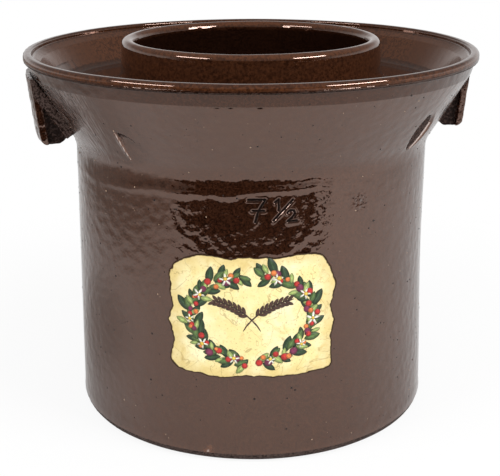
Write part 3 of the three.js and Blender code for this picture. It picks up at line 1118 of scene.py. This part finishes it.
def fired(name, node, voxel, smoothing, finish, seat=None):
    """A solid's copy with its edges softened as fired clay; seat() moves its points first."""
    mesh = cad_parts[node].data.copy()
    weld(mesh)
    if seat:
        move_points(mesh, seat(points_of(mesh)))
    made = new_object(name + "_solid", mesh)
    remesh = made.modifiers.new("voxels", "REMESH")
    remesh.mode = "VOXEL"
    remesh.voxel_size = voxel
    smooth = made.modifiers.new("soften", "SMOOTH")
    smooth.factor = 0.5
    smooth.iterations = smoothing
    return applied(made, name, finish)


def roughen(made, depth, size):
    """Moves a mesh's points along their normals by a noise of that size."""
    mesh = made.data
    places = points_of(mesh)
    lift = np.array([noise.fractal(Vector(place / size), *UNEVEN_FRACTAL) for place in places])
    move_points(mesh, places + normals_of(mesh) * lift[:, None] * depth)


def luted(places):
    """Points of a handle's seat pushed into the pot's wall, so that no seam shows."""
    outside = wall_outside(places[:, 2])
    radius = np.hypot(places[:, 0], places[:, 1])
    moved = np.where(radius < outside + SEAT_GAP, outside - SEAT_SINK, radius)
    out = places.copy()
    out[:, :2] *= (moved / radius)[:, None]
    return out


def from_wall(places):
    """Distances from the pot's plain outside."""
    return np.hypot(places[:, 0], places[:, 1]) - wall_outside(places[:, 2])


def lug_handle(name, node, finish, hollow_shade_finish):
    """A handle, the clay of its seat combed along the flare, and painted shade darkening its cheeks."""
    made = fired(name, node, LUG_VOXEL, LUG_SMOOTHING, finish, luted)
    roughen(made, LUG_UNEVEN, LUG_UNEVEN_SIZE)
    mesh = made.data
    places = points_of(mesh)
    normals = normals_of(mesh)
    middle = sum(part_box(node), Vector()) / 2
    along = np.array([-middle.y, middle.x, 0]) / math.hypot(middle.x, middle.y)
    cheek = np.clip((np.abs(normals @ along) - CHEEK_LEAST) / CHEEK_FULL, 0, 1)
    away = from_wall(places)
    seat = cheek * np.clip((LUTING_WIDTH + LUTING_FADE - away) / MM, 0, 1)
    streaks = [noise.noise(Vector((side / COMB_PITCH, height / COMB_LENGTH, 0))) for side, height in
               zip(away, places[:, 2])]
    move_points(mesh, places + normals * (COMB_DEPTH * seat * np.array(streaks))[:, None])
    hollow = HANDLE_WIDTH / 2 - CHEEK_RECESS
    # painted shade: the cheeks darken next to their recess
    sunk = bell(np.abs(places @ along) - hollow, CHEEK_SHADE_WIDTH)
    set_attribute(mesh, "thin", -CHEEK_SHADE * cheek * sunk)

    # matt finish on the seat, and on the cheeks as painted shade
    centres, normals = face_places(mesh)
    bare_and_shaded = np.abs(np.abs(centres @ along) - hollow) < CHEEK_MATT_MARGIN
    bare_and_shaded |= from_wall(centres) < LUTING_WIDTH + CHEEK_MATT_MARGIN
    refinish(mesh, hollow_shade_finish, bare_and_shaded & (np.abs(normals @ along) > CHEEK_SIDEWAYS))
    return made


def weight_stone(name, node, finish):
    made = fired(name, node, STONE_VOXEL, STONE_SMOOTHING, finish)
    roughen(made, STONE_UNEVEN, STONE_UNEVEN_SIZE)
    return made


# Label

LABEL_MIDDLE = (LABEL_LOW.z + LABEL_HIGH.z) / 2
LABEL_HALF_HEIGHT = (LABEL_HIGH.z - LABEL_LOW.z) / 2
LABEL_RADIUS = wall_outside(LABEL_MIDDLE)
LABEL_HALF_WIDTH = LABEL_RADIUS * math.asin(LABEL_HIGH.x / LABEL_RADIUS)
LABEL_TAPER = (WALL_TOP_RADIUS - WALL_BASE_RADIUS) / flare_foot


def on_wall(across, up, lift):
    """Places on the front wall from distances along it, right and up from the label's middle."""
    radius = LABEL_RADIUS + LABEL_TAPER * up + lift
    azimuth = across / LABEL_RADIUS
    return np.stack([radius * np.sin(azimuth), -radius * np.cos(azimuth), LABEL_MIDDLE + up], -1)


def circle(angles, radius, height):
    return [Vector((radius * math.cos(angle), radius * math.sin(angle), height)) for angle in angles]


def paper_label(finish):
    """A torn-edged sheet that lies on the wall, its edge lifted a little here and there."""
    angle = np.linspace(0, 2 * math.pi, LABEL_CORNERS, endpoint=False)
    rings = 1 - np.linspace(1, 0, LABEL_RINGS)[:, None] ** LABEL_CROWDING
    square = np.abs(np.cos(angle)) ** LABEL_SQUARENESS + np.abs(np.sin(angle)) ** LABEL_SQUARENESS
    wave = LABEL_WAVE * (1 + np.sin(LABEL_WAVES * angle))
    tear = np.array([noise.fractal(spot, *TEAR_FRACTAL) for spot in circle(angle, *TEAR_CIRCLE)])
    curl = np.array([noise.noise(spot) for spot in circle(angle, *CURL_CIRCLE)])
    reach = square ** (-1 / LABEL_SQUARENESS) * (1 + LABEL_WAVE - wave + TEAR_DEPTH * tear)
    across = LABEL_HALF_WIDTH * rings * (np.cos(angle) * reach)
    up = LABEL_HALF_HEIGHT * rings * (np.sin(angle) * reach)
    lift = LABEL_LIFT + CURL_HEIGHT * np.clip(curl, 0, 1) * rings ** CURL_AT_EDGE
    mesh = ring_mesh("paper_label", on_wall(across, up, lift))
    set_attribute(mesh, "edge", np.broadcast_to(rings, across.shape).ravel())
    weld(mesh, to_front=True)
    made = new_object("paper_flat", mesh)
    thicken(made, LABEL_THICKNESS)
    return applied(made, "paper_label", finish)


# What repeats: the print on the label and the specks in the glaze

# Print: sizes in a row of shapes are in millimetres
SPRIG_SIZES = (
    "Seed", "Middle Across", "Middle Up", "Half Width", "Half Height", "Start", "Sweep", "Scatter",
    "Splay", "Twist", "Length", "Width", "Base", "Point", "Lobes", "Lobe Depth", "Size Spread",
    "Lift", "Layer", "Wall Radius", "Wall Taper", "Wall Height",
)
SPRIG_CORNERS = 24
SALT = 0.37
ROW_SEED = 7.0
INK_THICKNESS = 0.04 * MM
PRINT_LIFT = LABEL_LIFT + LABEL_THICKNESS + 0.06 * MM
PLAIN_ROW = {
    "Scatter": 0.0, "Splay": 0.0, "Twist": 0.4, "Size Spread": 0.5, "Layer": 0.05 * MM,
    "Lobes": 0.0, "Lobe Depth": 0.0, "Middle Across": 0.0, "Middle Up": 0.0,
    "Wall Radius": float(LABEL_RADIUS), "Wall Taper": LABEL_TAPER, "Wall Height": LABEL_MIDDLE,
}
EVEN_ROW = {"Twist": 0.0, "Size Spread": 0.0}
LEAF = {"Base": 1.0, "Point": 0.6}
BERRY = {"Base": 0.0, "Point": 0.0}
BLOSSOM = {"Base": 0.0, "Point": 0.0, "Lobes": 5.0, "Lobe Depth": 0.45}
GRAIN = {"Base": 1.0, "Point": 0.35}
WREATH = {"Half Width": 37 * MM, "Half Height": 27.5 * MM, "Start": -math.pi / 2}
WREATH_SWEEP = math.radians(172)
STALK_RADIUS = 40 * MM
STALK_ACROSS = 29 * MM
STALK_UP = -29 * MM
STALK_FOOT = math.radians(62)
STALK_SWEEP = math.radians(50)
EAR_START = math.radians(20)
EAR_SWEEP = math.radians(32)
LEAF_VEIN = 0.5
DARK_GREEN = linear(44, 66, 40)
GREEN = linear(80, 104, 54)
PALE_GREEN = linear(150, 168, 96)
RED = linear(188, 44, 38)
ORANGE = linear(224, 124, 62)
PLUM = linear(120, 44, 76)
CREAM = linear(250, 244, 222)
YELLOW = linear(230, 190, 74)
BROWN = linear(74, 48, 36)

# Specks: how many a square metre and how large
PALE_GRIT = linear(158, 134, 112)
PALE_GRITS = {"Number": 1300.0, "Size": 0.16 * MM, "Size Spread": 2.4, "Flatness": 0.5, "Seed": 11}
DARK_PINHOLE = linear(24, 12, 8)
DARK_PINHOLES = {"Number": 4600.0, "Size": 0.19 * MM, "Size Spread": 3.0, "Flatness": 0.3, "Seed": 3}


def geometry_tree(name, inputs):
    """A geometry node tree with named inputs of the given kinds: its graph and the inputs' wires."""
    tree = bpy.data.node_groups.new(name, "GeometryNodeTree")
    tree.interface.new_socket("Geometry", in_out="OUTPUT", socket_type="NodeSocketGeometry")
    for label, kind in inputs.items():
        tree.interface.new_socket(label, in_out="INPUT", socket_type="NodeSocket" + kind)
    graph = Graph(tree)
    given = graph.add("NodeGroupInput")
    return graph, {label: given.output(label) for label in inputs}


def chances(graph, seed):
    """The element's index, and a function that draws -0.5 to 0.5 for it, another for each salt."""
    index = graph.add("GeometryNodeInputIndex")

    def chance(salt):
        sockets = {"W": index + salt * SALT + seed}
        return graph.add("ShaderNodeTexWhiteNoise", sockets, noise_dimensions="1D") - 0.5
    return index, chance


def sprig_tree():
    """Flat leaves, berries, blossoms or grains along an arc of an ellipse, laid on the front wall."""
    inputs = {"Count": "Int", **dict.fromkeys(SPRIG_SIZES, "Float"), "Material": "Material"}
    graph, given = geometry_tree("sprig", inputs)
    index, chance = chances(graph, given["Seed"])
    angle = given["Start"] + given["Sweep"] * (index + 0.5) / given["Count"]
    cosine, sine = index.maths("COSINE", angle), index.maths("SINE", angle)
    across = given["Middle Across"] + (given["Half Width"] + given["Scatter"] * chance(1)) * cosine
    up = given["Middle Up"] + (given["Half Height"] + given["Scatter"] * chance(2)) * sine
    way = index.maths("SIGN", given["Sweep"])
    rise = way * given["Half Height"] * cosine
    run = 0 - way * given["Half Width"] * sine
    side = 1 - 2 * index.maths("MODULO", index, 2.0)
    heading = index.maths("ARCTAN2", rise, run)
    turn = heading + side * given["Splay"] + given["Twist"] * chance(3)
    lift = given["Lift"] + given["Layer"] * chance(4)
    row = graph.add("GeometryNodeMeshLine", {"Count": given["Count"]})
    spot = graph.vector(across, up, lift)
    row = graph.add("GeometryNodeSetPosition", {"Geometry": row, "Position": spot})

    disc = graph.add("GeometryNodeMeshCircle", {"Vertices": SPRIG_CORNERS}, fill_type="TRIANGLE_FAN")
    x, y, _ = graph.axes(graph.add("GeometryNodeInputPosition"))
    off_axis = y.maths("ABSOLUTE", y)
    for label, value in (("rim", (x * x + y * y) ** 0.5), ("vein", off_axis)):
        sockets = {"Geometry": disc, "Name": label, "Value": value}
        disc = graph.add("GeometryNodeStoreNamedAttribute", sockets, data_type="FLOAT", domain="POINT")
    petal = y.maths("COSINE", given["Lobes"] * y.maths("ARCTAN2", y, x))
    lobe = 0.5 - 0.5 * given["Lobe Depth"] * (1 - petal)
    length = (x + given["Base"]) * given["Length"] * lobe
    width = y * off_axis ** given["Point"] * given["Width"] * lobe
    outline = graph.vector(length, width)
    disc = graph.add("GeometryNodeSetPosition", {"Geometry": disc, "Position": outline})

    size = 1 + given["Size Spread"] * chance(5)
    laid = graph.add("GeometryNodeInstanceOnPoints", {
        "Points": row,
        "Instance": disc,
        "Rotation": graph.vector(z=turn),
        "Scale": graph.vector(size, size, 1.0),
    })
    laid = graph.add("GeometryNodeRealizeInstances", {"Geometry": laid})
    x, y, z = graph.axes(graph.add("GeometryNodeInputPosition"))
    radius = given["Wall Radius"] + given["Wall Taper"] * y + z
    bend = x / given["Wall Radius"]
    wrapped = graph.vector(
        radius * x.maths("SINE", bend),
        0 - radius * x.maths("COSINE", bend),
        given["Wall Height"] + y,
    )
    laid = graph.add("GeometryNodeSetPosition", {"Geometry": laid, "Position": wrapped})
    laid = graph.add("GeometryNodeSetMaterial", {"Geometry": laid, "Material": given["Material"]})
    graph.add("NodeGroupOutput", {"Geometry": laid})
    return graph.tree


def specks_tree():
    """Flattened grains strewn over the part of a skin whose attribute says that it is outside."""
    sizes = {"Number": "Float", "Size": "Float", "Size Spread": "Float", "Flatness": "Float", "Seed": "Int"}
    graph, given = geometry_tree("specks", {"Skin": "Geometry", **sizes, "Material": "Material"})
    outside = graph.add("GeometryNodeInputNamedAttribute", {"Name": "outside"}, data_type="FLOAT")
    strewn = graph.add("GeometryNodeDistributePointsOnFaces", {
        "Mesh": given["Skin"],
        "Density": outside * given["Number"],
        "Seed": given["Seed"],
    })
    _, chance = chances(graph, 0.0)
    size = given["Size"] * (1 + given["Size Spread"] * (chance(1) + 0.5) ** 3)
    laid = graph.add("GeometryNodeInstanceOnPoints", {
        "Points": strewn,
        "Instance": graph.add("GeometryNodeMeshIcoSphere", {"Radius": 1.0, "Subdivisions": 2}),
        "Rotation": strewn.output("Rotation"),
        "Scale": graph.vector(size, size, size * given["Flatness"]),
    })
    laid = graph.add("GeometryNodeRealizeInstances", {"Geometry": laid})
    laid = graph.add("GeometryNodeSetMaterial", {"Geometry": laid, "Material": given["Material"]})
    graph.add("NodeGroupOutput", {"Geometry": laid})
    return graph.tree


def grown(tree, mesh, values, thickness=0.0):
    """An object with a plain mesh made by a tree from named values; a thickness closes flat shapes."""
    made = new_object(tree.name, mesh)
    modifier = made.modifiers.new(tree.name, "NODES")
    modifier.node_group = tree
    for item in tree.interface.items_tree:
        if item.in_out == "INPUT" and item.name in values:
            modifier[item.identifier] = values[item.name]
    if thickness:
        thicken(made, thickness)
    return applied(made, tree.name, values["Material"])


def joined(name, pieces):
    """One object from several, with all their materials."""
    with bpy.context.temp_override(active_object=pieces[0], selected_editable_objects=pieces):
        bpy.ops.object.join()
    pieces[0].name = name
    pieces[0].data.name = name
    return pieces[0]


def label_print():
    """A generic print: a wreath of leaves, berries and blossoms round two crossed ears of grain."""
    tree = sprig_tree()
    rows = []

    def row(finish, shape, count, length, width, lift, **places):
        values = {
            **PLAIN_ROW,
            "Seed": ROW_SEED * len(rows),
            **shape,
            "Count": count,
            "Length": length * MM,
            "Width": width * MM,
            "Lift": PRINT_LIFT + lift * MM,
            "Material": finish,
            **places,
        }
        rows.append(grown(tree, bpy.data.meshes.new("row"), values, INK_THICKNESS))

    dark_green = ink("ink_dark_green", DARK_GREEN, LEAF_VEIN)
    green = ink("ink_green", GREEN, LEAF_VEIN)
    pale_green = ink("ink_pale_green", PALE_GREEN, LEAF_VEIN)
    red = ink("ink_red", RED)
    orange = ink("ink_orange", ORANGE)
    plum = ink("ink_plum", PLUM)
    cream = ink("ink_cream", CREAM)
    yellow = ink("ink_yellow", YELLOW)
    brown = ink("ink_brown", BROWN)
    for side in (-1, 1):
        half = {**WREATH, "Sweep": side * WREATH_SWEEP}
        row(dark_green, LEAF, 26, 10, 4.4, 0.0, Scatter=4 * MM, Splay=0.75, **half)
        row(green, LEAF, 22, 8.5, 4.0, 0.06, Scatter=5 * MM, Splay=0.5, **half)
        row(pale_green, LEAF, 14, 7.0, 3.2, 0.12, Scatter=6 * MM, Splay=0.9, **half)
        row(red, BERRY, 12, 3.8, 3.8, 0.18, Scatter=8 * MM, **half)
        row(orange, BERRY, 8, 3.2, 3.2, 0.18, Scatter=9 * MM, **half)
        row(plum, BERRY, 6, 4.4, 4.0, 0.18, Scatter=7 * MM, **half)
        row(cream, BLOSSOM, 5, 8.0, 8.0, 0.24, Scatter=3 * MM, **half)
        row(yellow, BERRY, 5, 2.4, 2.4, 0.32, Scatter=3 * MM, Seed=2 * ROW_SEED * len(rows), **half)
        stalk = {
            "Middle Across": side * STALK_ACROSS,
            "Middle Up": STALK_UP,
            "Half Width": STALK_RADIUS,
            "Half Height": STALK_RADIUS,
            **EVEN_ROW,
        }
        foot = math.pi / 2 + side * STALK_FOOT
        row(brown, GRAIN, 9, 7.0, 0.8, 0.0, Start=foot, Sweep=-side * STALK_SWEEP, **stalk)
        row(brown, GRAIN, 15, 5.4, 2.1, 0.05, Splay=0.62,
            Start=foot - side * EAR_START, Sweep=-side * EAR_SWEEP, **stalk)
    return joined("label_print", rows)


def glaze_specks(pot):
    """Pale grit and dark pinholes in the glaze."""
    tree = specks_tree()
    pale = grit("pale_grit", PALE_GRIT, 0.4)
    dark = grit("dark_pinhole", DARK_PINHOLE, 0.6)
    kinds = ((dark, DARK_PINHOLES), (pale, PALE_GRITS))
    pieces = [grown(tree, pot.data.copy(), {**sizes, "Material": finish}) for finish, sizes in kinds]
    return joined("glaze_specks", pieces)


# Studio

# Camera, as fitted to the photograph
PHOTO_WIDTH = 500
FOCAL_PIXELS = 1093
CENTRE_PIXEL = 251.6
SENSOR_WIDTH = 36
CAMERA_PLACE = (0, -0.720, 0.3436)
CAMERA_TILT = math.radians(18.11)
CAMERA_ROLL = math.radians(-0.18)

# Room: what reflections see of it, and the even light on matt surfaces
WHITE = (1, 1, 1, 1)
AMBIENT = 0.6
CEILING = 0.22
BACKDROP = 0.82
BACKDROP_TOP = (0.1, 0.42)
DARK_FRONT = (0.1, 0.6)

# Floor; reflections also see a shaded place beside the crock and a table beyond the left edge
FLOOR_CORNERS = ((-5, -3), (5, -3), (5, 6), (-5, 6))
FLOOR_GREY = (0.9, 0.9, 0.9, 1)
FLOOR_PALE = (0.94, 0.94, 0.94, 1)
FLOOR_GLOW = 0.88
FLOOR_NEAR = (0.2, 0.5)
FLOOR_EDGE = (0.34, 0.68)
MIRRORED_GLOW = 0.1
TABLE_AND_SHADE_GREY = (0.42, 0.37, 0.34, 1.0)
SHADE_PLACE = (-0.26, 0.03, 0)
SHADE_REACH = (0.04, 0.18)
SHADE_SHARE = 0.6

# Dark cloth on the floor in front, which only reflections see
CLOTH_BLACK = (0.008, 0.008, 0.008, 1)
CLOTH_GREY = (0.016, 0.014, 0.013, 1)
CLOTH_LIFT = 1 * MM
CLOTH_EDGE = -0.495
CLOTH_EDGE_POINTS = 15
CLOTH_CURVE = 0.1
CLOTH_HALF = 0.51
CLOTH_FAR = 3.4
CLOTH_FAR_LEFT = -2.0
CLOTH_FAR_RIGHT = 0.6

# Lamps: azimuth and elevation in degrees, distance, width and height, brightness
LEFT_LAMP = (-56, 38, 1.3, 0.62, 0.12, 22)
RIGHT_LAMP = (56, 38, 1.3, 0.62, 0.12, 40)
FRONT_FILL = (0, 35, 1.5, 0.8, 0.5, 2.6)


def camera():
    data = bpy.data.cameras.new("camera")
    data.sensor_width = SENSOR_WIDTH
    data.lens = data.sensor_width * FOCAL_PIXELS / PHOTO_WIDTH
    data.shift_x = (PHOTO_WIDTH / 2 - CENTRE_PIXEL) / PHOTO_WIDTH
    made = new_object("camera", data)
    turn = Matrix.Rotation(math.pi / 2 - CAMERA_TILT, 4, "X") @ Matrix.Rotation(CAMERA_ROLL, 4, "Z")
    made.matrix_world = Matrix.Translation(CAMERA_PLACE) @ turn
    bpy.context.scene.camera = made


def softbox(name, azimuth, elevation, distance, width, height, radiance):
    """A rectangular lamp of a given brightness that faces the middle of the crock."""
    data = bpy.data.lights.new(name, "AREA")
    data.shape = "RECTANGLE"
    data.size = width
    data.size_y = height
    data.energy = radiance * width * height * math.pi
    made = new_object(name, data)
    turn, rise = math.radians(azimuth), math.radians(elevation)
    level = math.cos(rise)
    away = Vector((math.sin(turn) * level, -math.cos(turn) * level, math.sin(rise)))
    made.location = Vector((0, 0, RIM_HEIGHT / 2)) + away * distance
    made.rotation_euler = away.to_track_quat("Z", "Y").to_euler()
    return made


def sheet(name, outline, height, finish):
    """A flat staged sheet from the corners of its outline."""
    mesh = bpy.data.meshes.new(name)
    mesh.from_pydata([(x, y, height) for x, y in outline], [], [range(len(outline))])
    made = new_object(name, mesh, finish)
    return made


def rays(graph):
    """Whether the camera sees a surface, and whether a reflection or something clear does."""
    path = graph.add("ShaderNodeLightPath")
    return path.output("Is Camera Ray"), path.output("Is Glossy Ray") + path.output("Is Transmission Ray")


def surroundings():
    """White behind and beside the crock, dim above and in front of it, even light on matt surfaces."""
    world = bpy.data.worlds.new("studio")
    bpy.context.scene.world = world
    world.use_nodes = True
    graph = Graph(world.node_tree)
    seen, mirrored = rays(graph)
    _, y, z = graph.axes(graph.add("ShaderNodeTexCoord").output("Generated"))
    low = 1 - graph.smooth(z, *BACKDROP_TOP)
    behind = 1 - graph.smooth(0 - y, *DARK_FRONT)
    room = CEILING * (1 - low) + BACKDROP * low * behind
    strength = seen + mirrored * room + (1 - seen - mirrored) * AMBIENT
    light = graph.add("ShaderNodeBackground", {"Color": WHITE, "Strength": strength})
    graph.add("ShaderNodeOutputWorld", {"Surface": light})


def floor_paper():
    """Pale paper, white to the camera away from the crock and shadowed close to it."""
    made, graph, place = material("floor_paper")
    seen, mirrored = rays(graph)
    x, _, _ = graph.axes(place)
    # painted shadow: a grey spot beside the crock, seen only in reflections
    shade = SHADE_SHARE * (1 - graph.smooth(graph.distance(place, SHADE_PLACE), *SHADE_REACH))
    table_and_shade = (graph.smooth(0 - x, *FLOOR_EDGE) + shade) * mirrored
    grey = graph.mix(graph.noise(place, 3, 3.0), FLOOR_GREY, FLOOR_PALE)
    grey = graph.mix(table_and_shade, grey, TABLE_AND_SHADE_GREY)
    matt = graph.add("ShaderNodeBsdfPrincipled", {"Base Color": grey, "Roughness": 0.9})
    pale = graph.mix(table_and_shade, WHITE, TABLE_AND_SHADE_GREY)
    white = graph.add("ShaderNodeEmission", {"Color": pale, "Strength": 1.0})
    away = graph.add("ShaderNodeVectorMath", {0: place}, out="Value", operation="LENGTH")
    near = FLOOR_GLOW + (1 - FLOOR_GLOW) * graph.smooth(away, *FLOOR_NEAR)
    glow = seen * near + mirrored * MIRRORED_GLOW
    shader = graph.add("ShaderNodeMixShader", {0: glow, 1: matt, 2: white})
    graph.add("ShaderNodeOutputMaterial", {"Surface": shader})
    return made


def dark_cloth():
    """A dark cloth with a bowed edge, seen in the glaze alone."""
    finish, graph, place = material("dark_cloth")
    black = graph.mix(graph.noise(place, 20, 3.0), CLOTH_BLACK, CLOTH_GREY)
    surface(graph, {"Base Color": black, "Roughness": 1.0, "Specular IOR Level": 0.0})
    steps = np.linspace(-1, 1, CLOTH_EDGE_POINTS) * CLOTH_HALF
    near = [(across, CLOTH_EDGE + CLOTH_CURVE * across ** 2) for across in steps]
    far = [(CLOTH_FAR_RIGHT, -CLOTH_FAR), (CLOTH_FAR_LEFT, -CLOTH_FAR)]
    cloth = sheet("dark_cloth", near + far, CLOTH_LIFT, finish)
    cloth.visible_camera = False
    cloth.visible_diffuse = False
    cloth.visible_shadow = False


def studio():
    """Pale floor, dark cloth in front, a strip lamp on each side and a fill that leaves no glint."""
    surroundings()
    sheet("floor", FLOOR_CORNERS, 0, floor_paper())
    dark_cloth()
    softbox("side_lamp", *LEFT_LAMP)
    softbox("side_lamp", *RIGHT_LAMP)
    fill = softbox("front_fill", *FRONT_FILL)
    fill.visible_glossy = False


def main():
    bpy.context.scene.view_settings.view_transform = "Standard"
    glaze = brown_glaze("brown_glaze", GLAZE_IOR)
    clay = bare_stoneware()
    dry_and_shade = dry_clay_and_shade()
    pot = pot_body(glaze, dry_and_shade, brown_glaze("rim_glaze", RIM_IOR))
    collar = collar_ring(glaze)
    lug_left = lug_handle("lug_left", "handle_left", glaze, dry_and_shade)
    lug_right = lug_handle("lug_right", "handle_right", glaze, dry_and_shade)
    paper = paper_label(label_paper())
    stone_front = weight_stone("stone_front", "weight_stone_front", clay)
    stone_back = weight_stone("stone_back", "weight_stone_back", clay)
    pieces = [
        (pot, "pot_body", "crock", "brown_glaze"),
        (collar, "collar_ring", "crock", "brown_glaze"),
        (lug_left, "handle_left", "crock", "brown_glaze"),
        (lug_right, "handle_right", "crock", "brown_glaze"),
        (paper, "label", "crock", "label_paper"),
        (stone_front, "weight_stone_front", "front_stone", "bare_stoneware"),
        (stone_back, "weight_stone_back", "back_stone", "bare_stoneware"),
    ]
    for piece, node, body, slot in pieces:
        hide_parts(node)
        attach(piece, body)
    for piece, slot in ((label_print(), "label_paper"), (glaze_specks(pot), "brown_glaze")):
        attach(piece, "crock")
    studio()
    camera()


main()
